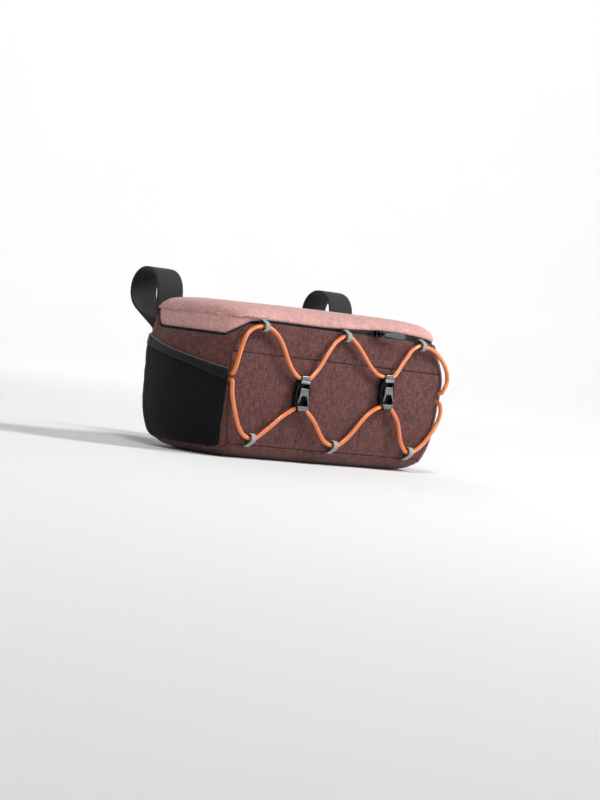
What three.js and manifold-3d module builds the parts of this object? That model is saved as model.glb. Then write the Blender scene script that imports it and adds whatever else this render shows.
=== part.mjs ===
// A handlebar bag: a hollow padded cloth box with a zipped lid, a mesh pocket on each end, an elastic cord
// laced over its front and two bar straps on its back. Millimetres, +Z up, the front faces -Y, and the
// origin lies on the flat base, under the middle of the bag.
import * as THREE from 'three';
import { mergeVertices } from 'three/addons/utils/BufferGeometryUtils.js';
import Module from 'manifold-3d';

const wasm = await Module();
wasm.setup();

// Driving dimensions
const WALL = 2.6;              // padded cloth of the body and lid
const SEAM_GAP = 0.4;          // left open between neighbouring pieces
const FRONT_BOW = 2.0;         // how far the front swells past a flat plane
const END_BOW = 4.0;           // how far each end swells
const LID_TOP = 119.4;         // height of the crown of the lid
const LID_LIFT = 3.0;          // how far the lid edge rises towards the right end
const LID_LIFT_FROM = -25;     // where along the width the lid edge starts to rise
const LID_LIFT_TO = 55;        // where it is fully up
const LID_LIFT_BACK = 10;      // where, behind the middle, the rise has faded away
const LID_LIFT_FRONT = 30;     // where, before the middle, it is whole
const LID_LIFT_CROWN = 0.7;    // share of the rise that the crown takes part in
const LID_NOSE = { from: 60, to: 105 }; // where along the width the edge comes down to the zip again
const LID_TURN = { from: 0.2, to: 1.5 }; // from wall to dome, in sections above the lid edge

const ZIP_DIP = 13;            // how far the zip falls as it goes round the left end
const DIP_FRONT = { from: 13.7, to: 9.4 }; // where the fall starts and ends, as places along the outline
const DIP_EASE = 0.85;         // below 1, it falls sooner
const DIP_BACK = { from: 0.3, to: 3.5 };   // and where the zip comes up again behind
const TAPE_RECESS = 0.7;       // zip tape behind the outer surface
const TAPE_THICK = 1.4;

const RIM_DROP = 0.7;          // how far the tray's rim dips on the ends, in sections
const POCKET_STAND = 0.4;      // mesh off the end panel
const POCKET_THICK = 1.0;
const POCKET_PUFF = 1.2;       // swell of the mesh between its edges
const POCKET_MARGIN = 0.35;    // strip of end panel left bare beside the pocket, in outline steps
const POCKET_SETBACK = 4.4;    // wider strip left bare before the right pocket
const POCKET_SLANT = 0.9;      // how far a pocket's front edge draws back at its foot, in outline steps
const POCKET_FOOT = 0.3;       // strip left bare under it, in sections
const POCKET_TOP_FRONT = 5.22; // section height of the pocket mouth at the front seam
const POCKET_TOP_BACK = 6.25;  // and at the back
const HEM_HEIGHT = 0.38;       // elastic hem, in sections
const HEM_THICK = 1.6;

const CORD_RADIUS = 1.9;
const CORD_SIDES = 8;
const CORD_STEPS = 90;
const CORD_LIFT = 4.6;         // cord centre off the front
const CORD_END = 0.7;          // a cord's end off the corner seam that it goes into

const TAB_WIDTH = 6.0;         // narrow webbing folded round the cord
const TAB_THICK = 1.1;
const TAB_HOLE = 2.8;          // inner radius of the fold
const TAB_SPACING = 82;        // between neighbouring tabs along the front
const TAB_TOP = 101.1;         // height of the cord in the upper tabs
const TAB_BOTTOM = 16.4;       // and in the lower tabs
const TAB_STEPS = 14;          // flats round the fold

const CLIP_HEIGHT = 23.2;      // between the two cord holes
const CLIP_BARREL_LENGTH = 8;
const CLIP_BARREL = 3.1;       // outer radius round the cord
const CLIP_HOLE = 2.5;
const CLIP_THICK = 5.4;
const ROUND_SIDES = 16;        // flats of a barrel or an eye

const STRAP_X = 90;            // bar straps either side of the middle
const STRAP_WIDTH = 25;
const STRAP_THICK = 2.2;
const STRAP_STEPS = 24;        // flats round the bar
const BAR_RADIUS = 16.2;       // room for a 31.8 mm bar
const BAR_Y = 70;
const BAR_Z = 119;
const STRAP_JOIN_Z = 90;       // where the strap's two layers meet
const STRAP_FOOT_Z = 57;       // lower end of the sewn layers

const SLIDER_X = 35.5;         // zip slider along the front
const SLIDER_LENGTH = 9;
const SLIDER_HEIGHT = 4.3;
const SLIDER_DEPTH = 3.2;
const PIN_RADIUS = 0.75;
const PIN_SIDES = 12;
const EYE_HOLE = 1.15;
const EYE_RADIUS = 1.9;
const EAR_THICK = 0.8;
const EAR_WIDTH = 2.6;
const EAR_PAST_PIN = 1.4;      // how far an ear reaches past the middle of the pin
const EAR_ROOT = 1.0;          // how far it reaches into the slider
const PULL_THICK = 1.2;
const PULL_NECK = { from: 1, to: 7 };

// Sections of the bag from the base up: half of the width, depth in front of and behind the middle,
// and the plan radii of the front and back corners.
const SECTIONS = [
  { level: 'base edge', z: 0, half: 92, front: 33, back: 20, frontCorner: 14, backCorner: 14 },
  { level: 'tray turn', z: 2, half: 102, front: 42, back: 30, frontCorner: 17, backCorner: 16 },
  { level: 'tray wall', z: 5.2, half: 107.8, front: 46.8, back: 35.1, frontCorner: 18.5, backCorner: 16.7 },
  { level: 'bottom seam', z: 10.4, half: 113, front: 50.9, back: 40.3, frontCorner: 19, backCorner: 17.7 },
  { level: 'lower body', z: 29, half: 116.4, front: 54.2, back: 45.7, frontCorner: 15.5, backCorner: 18 },
  { level: 'middle', z: 62, half: 117.5, front: 55.5, back: 48, frontCorner: 12, backCorner: 18 },
  { level: 'upper seam', z: 80, half: 117, front: 55, back: 48, frontCorner: 12, backCorner: 18 },
  { level: 'zip line', z: 104, half: 111.5, front: 52.8, back: 47.5, frontCorner: 20, backCorner: 18 },
  { level: 'lid edge', z: 106.5, half: 110.9, front: 53.8, back: 48, frontCorner: 23, backCorner: 18 },
  { level: 'lid shoulder', z: 111, half: 108.6, front: 51, back: 46, frontCorner: 22, backCorner: 18 },
  { level: 'crown rim', z: 115, half: 101, front: 43, back: 41, frontCorner: 20, backCorner: 16 },
  { level: 'crown', z: 117.5, half: 86, front: 29, back: 29, frontCorner: 16, backCorner: 14 },
];
const level = (name) => SECTIONS.findIndex((section) => section.level === name);
const BASE = level('base edge');
const BOTTOM_SEAM = level('bottom seam');
const UPPER_SEAM = level('upper seam');
const ZIP_LINE = level('zip line');
const LID_EDGE = level('lid edge');
const CROWN_RIM = level('crown rim');
const CROWN = level('crown');

// The plan outline runs counter-clockwise from the middle of the back left corner. Corners turn through
// the angles given, walls run straight between them with the bow given.
const OUTLINE = [
  { run: 'corner', steps: 3, end: 'back', side: -1, from: 135, to: 180 },
  { run: 'wall', steps: 4, bow: END_BOW },
  { run: 'corner', steps: 6, end: 'front', side: -1, from: 180, to: 270 },
  { run: 'wall', steps: 8, bow: FRONT_BOW },
  { run: 'corner', steps: 6, end: 'front', side: 1, from: 270, to: 360 },
  { run: 'wall', steps: 4, bow: END_BOW },
  { run: 'corner', steps: 6, end: 'back', side: 1, from: 0, to: 90 },
  { run: 'wall', steps: 8, bow: 0 },
  { run: 'corner', steps: 3, end: 'back', side: -1, from: 90, to: 135 },
];
const AROUND = OUTLINE.reduce((sum, run) => sum + run.steps, 0);
const LEFT_BACK = 0;           // vertical seams, as places along the outline
const LEFT_FRONT = 12;
const RIGHT_FRONT = 22;
const RIGHT_BACK = 34;
const ENDS = [
  { side: 'left', front: LEFT_FRONT, back: LEFT_BACK, bare: POCKET_MARGIN },
  { side: 'right', front: RIGHT_FRONT, back: RIGHT_BACK, bare: POCKET_SETBACK },
];

// The elastic cord's two runs: across the front, height, what holds it there, and its lift off the front
// where that isn't the usual. It runs nearly level for a short way through whatever holds it, and its ends
// go into the corner seams.
const HELD = { tab: { half: 3.6, ease: 0.3 }, clip: { half: 4.6, ease: 0.2 } };
const CORD_UPPER = [
  { x: -107, z: 63.3, lift: CORD_END },
  { x: -107.2, z: 64, lift: 2.9 },
  { x: -107.2, z: 66.6, lift: 4.4 },
  { x: -106.8, z: 69.6 },
  { x: -105.6, z: 75.9 },
  { x: -103.8, z: 82.3 },
  { x: -101.4, z: 88.7 },
  { x: -98, z: 94.6 },
  { x: -92.6, z: 99 },
  { x: -82, z: TAB_TOP, held: 'tab' },
  { x: -71.4, z: 97.2 },
  { x: -66, z: 91.8 },
  { x: -62.3, z: 85.9 },
  { x: -58.8, z: 79.3 },
  { x: -54.9, z: 73.3 },
  { x: -49.8, z: 68.2 },
  { x: -40.4, z: 65.3, held: 'clip' },
  { x: -30.6, z: 70.1 },
  { x: -25.5, z: 76.4 },
  { x: -20.3, z: 84.5 },
  { x: -15.6, z: 90.8 },
  { x: -10.4, z: 96.8 },
  { x: 0, z: TAB_TOP, held: 'tab' },
  { x: 11, z: 96.1 },
  { x: 16.6, z: 90.8 },
  { x: 21.8, z: 85.2 },
  { x: 27.7, z: 79.4 },
  { x: 34.4, z: 75.1 },
  { x: 45.6, z: 73.4, held: 'clip' },
  { x: 56.2, z: 79.1 },
  { x: 60.6, z: 85.3 },
  { x: 65.9, z: 91.6 },
  { x: 71, z: 97.3 },
  { x: 82, z: TAB_TOP, held: 'tab' },
  { x: 91.4, z: 99.9, lift: 4.3 },
  { x: 97.5, z: 97.6, lift: 4.1 },
  { x: 103, z: 93.3, lift: 4.3 },
  { x: 107.5, z: 88.3, lift: 4.9 },
  { x: 110.4, z: 82.4, lift: 5.2 },
  { x: 111.2, z: 75.4, lift: 5 },
  { x: 109.6, z: 70, lift: 4.6 },
  { x: 107.4, z: 65.9, lift: 3.2 },
  { x: 107.1, z: 65.1, lift: CORD_END },
];
const CORD_LOWER = [
  { x: -107, z: 58.9, lift: CORD_END },
  { x: -107.2, z: 58.2, lift: 2.9 },
  { x: -107.2, z: 55.6, lift: 4.4 },
  { x: -107, z: 52.6 },
  { x: -106.2, z: 48 },
  { x: -104.2, z: 41 },
  { x: -100.8, z: 32.4 },
  { x: -96.6, z: 25 },
  { x: -91.2, z: 19.2 },
  { x: -82, z: TAB_BOTTOM, held: 'tab' },
  { x: -71.2, z: 22.4 },
  { x: -64.2, z: 28.6 },
  { x: -57.4, z: 34.6 },
  { x: -50.6, z: 39.2 },
  { x: -40.9, z: 42.1, held: 'clip' },
  { x: -29.6, z: 37.8 },
  { x: -22.6, z: 31.5 },
  { x: -17.2, z: 25.3 },
  { x: -10.8, z: 19.4 },
  { x: 0, z: TAB_BOTTOM, held: 'tab' },
  { x: 10.2, z: 21.2 },
  { x: 16.2, z: 27.6 },
  { x: 22.8, z: 35.9 },
  { x: 29.2, z: 42.8 },
  { x: 36.6, z: 47.9 },
  { x: 47, z: 50.2, held: 'clip' },
  { x: 57.6, z: 45.6 },
  { x: 63.4, z: 38.6 },
  { x: 66.8, z: 30.8 },
  { x: 71, z: 22.8 },
  { x: 82, z: TAB_BOTTOM, held: 'tab' },
  { x: 90.6, z: 19.4, lift: 4.2 },
  { x: 96.4, z: 23.9, lift: 3.8 },
  { x: 101, z: 29.5, lift: 3.6 },
  { x: 105.2, z: 36.4, lift: 3.6 },
  { x: 108.6, z: 43.4, lift: 3.8 },
  { x: 109.3, z: 50.4, lift: 4.2 },
  { x: 108.4, z: 54.4, lift: 4 },
  { x: 107.3, z: 57.3, lift: 3 },
  { x: 107.1, z: 58, lift: CORD_END },
];
// The clips that pull the two runs together: place and height of the middle, and lean.
const CLIPS = [
  { name: 'clip_left', x: -40.65, z: 53.7, lean: 1.1 },
  { name: 'clip_right', x: 46.25, z: 61.8, lean: -3.2 },
];

// Outlines that are alike on both sides of their middle: how far out, and how far along.
const CLIP_EDGE = [
  { half: 4, along: -11.6 },
  { half: 6.4, along: -8.6 },
  { half: 6.8, along: -4.5 },
  { half: 5.8, along: 3 },
  { half: 5.6, along: 7.4 },
  { half: 4, along: 11.6 },
];
const CLIP_WINDOW = [
  { half: 3.9, along: -8 },
  { half: 1.4, along: -2 },
];
const CLIP_SLOT = [
  { half: 3.8, along: 5 },
  { half: 3.8, along: 7.6 },
];
const PULL_EDGE = [
  { half: 1.5, along: 3.4 },
  { half: 2.2, along: 22 },
  { half: 1, along: 24 },
];

// Colours and finishes
const finish = (color, roughness, metalness = 0) => () =>
  new THREE.MeshStandardMaterial({ color, roughness, metalness });
const BODY_CLOTH = finish(0x6d4342, 0.9);
const LID_CLOTH = finish(0xb98682, 0.85);
const BLACK_KNIT = finish(0x1c1c1e, 0.95);
const ELASTIC_HEM = finish(0x26262a, 0.9);
const WEBBING = finish(0x5a5a5c, 0.85);
const STRAP_CLOTH = finish(0x1b1b1d, 0.9);
const CORD_SHEATH = finish(0xe8743a, 0.7);
const GLOSS_PLASTIC = finish(0x151517, 0.3);
const ZIP_TAPE = finish(0x2b2f2e, 0.55);
const ZIP_METAL = finish(0x5a5b5e, 0.35, 1);

// The shape of the bag

function blendRows(before, from, to, after, share, key) {
  const [a, b, c, d] = [before[key], from[key], to[key], after[key]];
  const slope = (c - a) * share;
  const square = (2 * a - 5 * b + 4 * c - d) * share ** 2;
  const cube = (3 * b - a - 3 * c + d) * share ** 3;
  return 0.5 * (2 * b + slope + square + cube);
}

const CLOSE = 1e-4;            // two places nearer than this are one
const SIZES = ['z', 'half', 'front', 'back', 'frontCorner', 'backCorner'];

// Past the base edge the bag turns inward and stays flat; past the crown it goes on as it was.
function sectionRow(index) {
  const first = SECTIONS[0];
  const last = SECTIONS[SECTIONS.length - 1];
  if (index >= 0 && index < SECTIONS.length) return SECTIONS[index];
  const [near, far] = index < 0 ? [first, SECTIONS[1]] : [last, SECTIONS[SECTIONS.length - 2]];
  const row = {};
  for (const key of SIZES) row[key] = 2 * near[key] - far[key];
  if (index < 0) row.z = far.z;
  return row;
}

function sectionAt(height) {
  const index = Math.min(Math.max(Math.floor(height), 0), SECTIONS.length - 2);
  const rows = [-1, 0, 1, 2].map((step) => sectionRow(index + step));
  const section = {};
  for (const key of SIZES) section[key] = blendRows(...rows, height - index, key);
  return section;
}

function cornerPoint(section, end, side, degrees) {
  const radius = end === 'front' ? section.frontCorner : section.backCorner;
  const depth = end === 'front' ? -(section.front - radius) : section.back - radius;
  const angle = THREE.MathUtils.degToRad(degrees);
  const x = side * (section.half - radius) + radius * Math.cos(angle);
  return new THREE.Vector2(x, depth + radius * Math.sin(angle));
}

function wallPoint(section, index, share) {
  const last = OUTLINE[index - 1];
  const next = OUTLINE[index + 1];
  const start = cornerPoint(section, last.end, last.side, last.to);
  const stop = cornerPoint(section, next.end, next.side, next.from);
  const along = stop.clone().sub(start);
  const outward = new THREE.Vector2(along.y, -along.x).normalize();
  const swell = OUTLINE[index].bow * (1 - (2 * share - 1) ** 2);
  return start.addScaledVector(along, share).addScaledVector(outward, swell);
}

function outlinePoint(section, around) {
  let rest = ((around % AROUND) + AROUND) % AROUND;
  let index = 0;
  while (rest > OUTLINE[index].steps) {
    rest -= OUTLINE[index].steps;
    index += 1;
  }
  const run = OUTLINE[index];
  const share = rest / run.steps;
  if (run.run === 'wall') return wallPoint(section, index, share);
  return cornerPoint(section, run.end, run.side, run.from + (run.to - run.from) * share);
}

function heightAt(z) {
  let low = 0;
  let high = LID_EDGE;
  while (high - low > CLOSE) {
    const middle = (low + high) / 2;
    if (sectionAt(middle).z < z) low = middle;
    else high = middle;
  }
  return high;
}

// The zip falls as it goes round the left front corner, and the lid edge with it.
function zipFall(around) {
  const { from, to } = DIP_FRONT;
  const front = THREE.MathUtils.clamp((around - from) / (to - from), 0, 1) ** DIP_EASE;
  const back = THREE.MathUtils.smoothstep(around, DIP_BACK.from, DIP_BACK.to);
  return ZIP_DIP * front * back;
}
const zipLine = (around) => heightAt(SECTIONS[ZIP_LINE].z - zipFall(around));
const lidRim = (around) => heightAt(SECTIONS[LID_EDGE].z - zipFall(around));

// The lid edge droops over the zip on the left, stands clear of it on the right and comes down at the end.
function lidLift(x, height) {
  const along = THREE.MathUtils.smoothstep(x, LID_LIFT_FROM, LID_LIFT_TO);
  const fade = THREE.MathUtils.clamp((height - ZIP_LINE) / (LID_EDGE - ZIP_LINE), 0, 1);
  const up = THREE.MathUtils.clamp((height - LID_EDGE) / (CROWN - LID_EDGE), 0, 1);
  const low = THREE.MathUtils.clamp((CROWN_RIM - height) / (CROWN_RIM - LID_EDGE), 0, 1);
  const nose = low * THREE.MathUtils.smoothstep(x, LID_NOSE.from, LID_NOSE.to);
  return LID_LIFT * along * fade * THREE.MathUtils.lerp(1, LID_LIFT_CROWN, up) * (1 - nose);
}

function skinPoint(around, height) {
  const section = sectionAt(height);
  const plan = outlinePoint(section, around);
  const front = THREE.MathUtils.smoothstep(-plan.y, -LID_LIFT_BACK, LID_LIFT_FRONT);
  return new THREE.Vector3(plan.x, plan.y, section.z + front * lidLift(plan.x, height));
}

const SMALL = 0.02;            // step used to find a slope, in outline steps or sections
function skinSteps(around, height) {
  const low = Math.max(height - SMALL, 0);
  const high = Math.min(height + SMALL, CROWN);
  const across = skinPoint(around + SMALL, height).sub(skinPoint(around - SMALL, height));
  const up = skinPoint(around, high).sub(skinPoint(around, low));
  return { across: across.divideScalar(2 * SMALL), up: up.divideScalar(high - low) };
}

// Walls are cut square to the plan outline; the tray's turn and the lid follow the slope of the skin.
function offsetPoint(around, height, offset) {
  const { across, up } = skinSteps(around, height);
  const outward = across.cross(up).normalize();
  const tray = 1 - THREE.MathUtils.smoothstep(height, BOTTOM_SEAM - 1, BOTTOM_SEAM);
  const lid = THREE.MathUtils.smoothstep(height - LID_EDGE, LID_TURN.from, LID_TURN.to);
  outward.z *= Math.max(tray, lid);
  return skinPoint(around, height).addScaledVector(outward.normalize(), offset);
}

// A point over the front, off it by lift, and the direction straight out from the front there.
function frontPlace(x, z, lift) {
  const section = sectionAt(heightAt(z));
  const radius = section.frontCorner;
  const flat = section.half - radius;
  const turn = Math.asin(THREE.MathUtils.clamp((Math.abs(x) - flat) / radius, 0, 1));
  const bow = FRONT_BOW * Math.max(1 - (x / flat) ** 2, 0);
  const out = new THREE.Vector3(Math.sign(x) * Math.sin(turn), -Math.cos(turn), 0);
  const y = -(section.front - radius) - radius * Math.cos(turn) - bow;
  return { point: new THREE.Vector3(x, y, z).addScaledVector(out, lift), out };
}

// Solids

function solidGeometry(points, faces) {
  const geometry = new THREE.BufferGeometry();
  const positions = points.flatMap((point) => [point.x, point.y, point.z]);
  geometry.setAttribute('position', new THREE.Float32BufferAttribute(positions, 3));
  geometry.setIndex(faces.flat());
  let volume = 0;
  for (const [a, b, c] of faces) volume += points[a].dot(points[b].clone().cross(points[c])) / 6;
  if (volume < 0) geometry.setIndex(faces.flatMap(([a, b, c]) => [a, c, b]));
  return geometry;
}

// Two layers of a grid, outer then inner, joined along the open edges.
function layeredGrid(outer, inner, closedAround, capped) {
  const columns = outer.length;
  const rows = outer[0].length;
  const points = [...outer.flat(), ...inner.flat()];
  const place = (layer, column, row) => layer * columns * rows + (column % columns) * rows + row;
  const faces = [];
  const quad = (a, b, c, d) => faces.push([a, b, c], [a, c, d]);
  const spans = closedAround ? columns : columns - 1;
  for (let column = 0; column < spans; column += 1) {
    for (let row = 0; row < rows - 1; row += 1) {
      const corners = [[column, row], [column + 1, row], [column + 1, row + 1], [column, row + 1]];
      quad(...corners.map(([c, r]) => place(0, c, r)));
      quad(...corners.map(([c, r]) => place(1, c, r)).reverse());
    }
    quad(place(0, column + 1, 0), place(0, column, 0), place(1, column, 0), place(1, column + 1, 0));
    if (!capped) {
      const edge = [[0, column], [0, column + 1], [1, column + 1], [1, column]];
      quad(...edge.map(([layer, c]) => place(layer, c, rows - 1)));
    }
  }
  if (!closedAround) {
    for (let row = 0; row < rows - 1; row += 1) {
      const last = columns - 1;
      quad(place(0, 0, row), place(0, 0, row + 1), place(1, 0, row + 1), place(1, 0, row));
      quad(place(0, last, row + 1), place(0, last, row), place(1, last, row), place(1, last, row + 1));
    }
  }
  if (capped) {
    points.push(...capped);
    const middles = [points.length - 2, points.length - 1];
    for (let column = 0; column < columns; column += 1) {
      faces.push([place(0, column, rows - 1), place(0, column + 1, rows - 1), middles[0]]);
      faces.push([place(1, column + 1, rows - 1), place(1, column, rows - 1), middles[1]]);
    }
  }
  return solidGeometry(points, faces);
}

const constant = (value) => () => value;

// A patch of the skin between two places along the outline and two heights that may change along it. Its
// upright lines may lean along the outline.
function panel({ from, to, low, high, rows, outside, inside, lean = constant(0) }) {
  const middle = (low(0.5 * (from + to)) + high(0.5 * (from + to))) / 2;
  const margin = (around) => SEAM_GAP / 2 / skinSteps(around, middle).across.length();
  const columns = [from + margin(from)];
  for (let column = Math.floor(from) + 1; column < to; column += 1) columns.push(column);
  columns.push(to - margin(to));
  const layer = (offset) => columns.map((around, index) => {
    const share = index / (columns.length - 1);
    const [foot, head] = [around + lean(share, 0), around + lean(share, 1)];
    const bottom = low(foot) + SEAM_GAP / 2 / skinSteps(foot, low(foot)).up.length();
    const top = high(head) - SEAM_GAP / 2 / skinSteps(head, high(head)).up.length();
    return Array.from({ length: rows + 1 }, (_, row) => {
      const rise = row / rows;
      return offsetPoint(around + lean(share, rise), bottom + (top - bottom) * rise, offset(share, rise));
    });
  });
  return layeredGrid(layer(outside), layer(inside), false, null);
}

// A dish: the skin all round from a rim to a flat or domed middle.
function dish({ rim, last, rows, top, away }) {
  const layer = (offset) => Array.from({ length: AROUND }, (_, around) => {
    const start = rim(around) + away * SEAM_GAP / 2 / skinSteps(around, rim(around)).up.length();
    return Array.from({ length: rows + 1 }, (_, row) =>
      offsetPoint(around, start + (last - start) * (row / rows), offset));
  });
  const middles = [new THREE.Vector3(0, 0, top), new THREE.Vector3(0, 0, top - away * WALL)];
  return layeredGrid(layer(0), layer(-WALL), true, middles);
}

// The tray's rim dips below the end pockets, with a rounded corner at each seam.
function trayRim(around) {
  for (const { front, back } of ENDS) {
    const across = 2 * (around - back) / (front - back) - 1;
    if (Math.abs(across) < 1) {
      return BOTTOM_SEAM - RIM_DROP * (1 - across ** 4);
    }
  }
  return BOTTOM_SEAM;
}

function wallPanel(from, to, low, high, rows) {
  return panel({ from, to, low, high, rows, outside: constant(0), inside: constant(-WALL) });
}

// The pocket mouth slants evenly up from the front seam to the back: outline steps from the back seam, and
// the share of the way to the front seam that they make.
const POCKET_WAY = [
  { steps: 0, share: 0 },
  { steps: 3, share: 0.14 },
  { steps: 7, share: 0.85 },
  { steps: 12, share: 1 },
];
function pocketMouth(around) {
  const steps = around < LEFT_FRONT + 1 ? around - LEFT_BACK : RIGHT_BACK - around;
  const next = Math.max(POCKET_WAY.findIndex((row) => row.steps >= steps), 1);
  const [near, far] = [POCKET_WAY[next - 1], POCKET_WAY[next]];
  const forward = THREE.MathUtils.mapLinear(steps, near.steps, far.steps, near.share, far.share);
  return POCKET_TOP_BACK + (POCKET_TOP_FRONT - POCKET_TOP_BACK) * forward;
}

function pocketPiece({ front, back, bare }, piece) {
  const hem = piece === 'hem';
  const inward = Math.sign(back - front);
  const frontEdge = front + inward * bare;
  const backEdge = back - inward * POCKET_MARGIN;
  const hemLine = (around) => pocketMouth(around) - HEM_HEIGHT;
  const swell = (share, rise) => POCKET_PUFF * Math.sin(Math.PI * share) * Math.sin(Math.PI * 0.5 * rise);
  const stand = (share, rise) => POCKET_STAND + swell(share, hem ? 1 : rise);
  const thick = hem ? HEM_THICK : POCKET_THICK;
  const forward = (share) => (frontEdge > backEdge ? share : 1 - share);
  const slant = (share, rise) => inward * POCKET_SLANT * (1 - rise) * forward(share) ** 2;
  return panel({
    from: Math.min(frontEdge, backEdge),
    to: Math.max(frontEdge, backEdge),
    low: hem ? hemLine : (around) => trayRim(around) + POCKET_FOOT,
    high: hem ? pocketMouth : hemLine,
    rows: hem ? 2 : 10,
    outside: (share, rise) => stand(share, rise) + thick,
    inside: stand,
    lean: hem ? constant(0) : slant,
  });
}

function toManifold(geometry) {
  const bare = geometry.clone();
  bare.deleteAttribute('normal');
  bare.deleteAttribute('uv');
  const merged = mergeVertices(bare, CLOSE);
  return new wasm.Manifold(new wasm.Mesh({
    numProp: 3,
    vertProperties: new Float32Array(merged.attributes.position.array),
    triVerts: new Uint32Array(merged.index.array),
  }));
}

function fromManifold(solid) {
  const mesh = solid.getMesh();
  const geometry = new THREE.BufferGeometry();
  geometry.setAttribute('position', new THREE.BufferAttribute(new Float32Array(mesh.vertProperties), 3));
  geometry.setIndex(new THREE.BufferAttribute(new Uint32Array(mesh.triVerts), 1));
  return geometry;
}

const join = (...shapes) => fromManifold(shapes.map(toManifold).reduce((all, shape) => all.add(shape)));
const cut = (shape, ...tools) =>
  fromManifold(tools.map(toManifold).reduce((rest, tool) => rest.subtract(tool), toManifold(shape)));

const block = (width, depth, height, x, y, z) =>
  new THREE.BoxGeometry(width, depth, height).translate(x, y, z);
const rod = (radius, length, sides) => new THREE.CylinderGeometry(radius, radius, length, sides);

// The outline of a band pulled round two circles.
function beltPoints(centre, radius, end, endRadius, steps) {
  const toEnd = end.clone().sub(centre);
  const heading = toEnd.angle();
  const spread = Math.acos((radius - endRadius) / toEnd.length());
  const points = [];
  for (let step = 0; step <= steps; step += 1) {
    const angle = heading + spread + (2 * Math.PI - 2 * spread) * (step / steps);
    points.push(new THREE.Vector2(Math.cos(angle), Math.sin(angle)).multiplyScalar(radius).add(centre));
  }
  const few = Math.max(Math.round(steps / 5), 2);
  for (let step = 0; step <= few; step += 1) {
    const angle = heading - spread + 2 * spread * (step / few);
    points.push(new THREE.Vector2(Math.cos(angle), Math.sin(angle)).multiplyScalar(endRadius).add(end));
  }
  return points;
}

// A webbing band folded round a rod, in the plane of out and along, as wide as given and centred on it.
function webbingLoop({ centre, hole, end, endHole, thick, width, steps }) {
  const shape = new THREE.Shape(beltPoints(centre, hole + thick, end, endHole + thick, steps));
  shape.holes.push(new THREE.Path(beltPoints(centre, hole, end, endHole, steps)));
  const band = new THREE.ExtrudeGeometry(shape, { depth: width, bevelEnabled: false });
  return band.translate(0, 0, -width / 2);
}

// A tab's plane has out of the bag as its first axis and towards its sewn end as its second.
const TAB_END_HOLE = 0.3;
const TAB_REACH = { top: 3.4, bottom: 5.6 };
const TAB_SEAT = { top: 0.45, bottom: -1.0 };

function tab(kind, x, z, seam) {
  const { point, out } = frontPlace(x, z, 0);
  const seat = TAB_SEAT[kind] + TAB_THICK + TAB_END_HOLE;
  const band = webbingLoop({
    centre: new THREE.Vector2(CORD_LIFT, 0),
    hole: TAB_HOLE,
    end: new THREE.Vector2(seat, TAB_REACH[kind]),
    endHole: TAB_END_HOLE,
    thick: TAB_THICK,
    width: TAB_WIDTH,
    steps: TAB_STEPS,
  });
  const wide = new THREE.Vector3().crossVectors(out, seam);
  const frame = new THREE.Matrix4().makeBasis(out, seam, wide).setPosition(point);
  return band.applyMatrix4(frame);
}

// The back of the bag lies BACK_STAND in front of the strap's sewn layers.
const BACK_STAND = 0.4;
const STRAP_END_HOLE = 0.6;

function strap(x) {
  const back = sectionAt(level('middle')).back + BACK_STAND;
  const bandWidth = STRAP_THICK + STRAP_END_HOLE;
  const band = webbingLoop({
    centre: new THREE.Vector2(BAR_Y, BAR_Z),
    hole: BAR_RADIUS,
    end: new THREE.Vector2(back + bandWidth, STRAP_JOIN_Z),
    endHole: STRAP_END_HOLE,
    thick: STRAP_THICK,
    width: STRAP_WIDTH,
    steps: STRAP_STEPS,
  });
  const turn = new THREE.Matrix4().makeBasis(
    new THREE.Vector3(0, 1, 0), new THREE.Vector3(0, 0, 1), new THREE.Vector3(1, 0, 0));
  band.applyMatrix4(turn);
  const height = STRAP_JOIN_Z - STRAP_FOOT_Z;
  const middle = STRAP_FOOT_Z + height / 2;
  const layers = block(STRAP_WIDTH, 2 * STRAP_THICK, height, 0, back + STRAP_THICK, middle);
  return join(band, layers).translate(x, 0, 0);
}

function routePoints(route) {
  return route.flatMap(({ x, z, held, lift = CORD_LIFT }, index) => {
    if (!held) return [frontPlace(x, z, lift).point];
    const { half, ease } = HELD[held];
    const turn = Math.sign(route[index - 1].z + route[index + 1].z - 2 * z);
    return [-half, 0, half].map((along) =>
      frontPlace(x + along, z + turn * ease * Math.abs(along / half), lift).point);
  });
}

function cord(route) {
  const points = routePoints(route);
  const path = new THREE.CatmullRomCurve3(points, false, 'centripetal');
  const ring = Array.from({ length: CORD_SIDES }, (_, side) => {
    const angle = 2 * Math.PI * side / CORD_SIDES;
    return new THREE.Vector2(Math.cos(angle), Math.sin(angle)).multiplyScalar(CORD_RADIUS);
  });
  return new THREE.ExtrudeGeometry(new THREE.Shape(ring), { steps: CORD_STEPS, extrudePath: path });
}

// A plate in the plane of its outline, given thickness to both sides of y = 0.
function plate(edge, thick) {
  const near = edge.map(({ half, along }) => new THREE.Vector2(half, along));
  const far = edge.map(({ half, along }) => new THREE.Vector2(-half, along)).reverse();
  const shape = new THREE.Shape([...near, ...far]);
  const solid = new THREE.ExtrudeGeometry(shape, { depth: thick, bevelEnabled: false });
  return solid.rotateX(Math.PI / 2).translate(0, thick / 2, 0);
}

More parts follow.
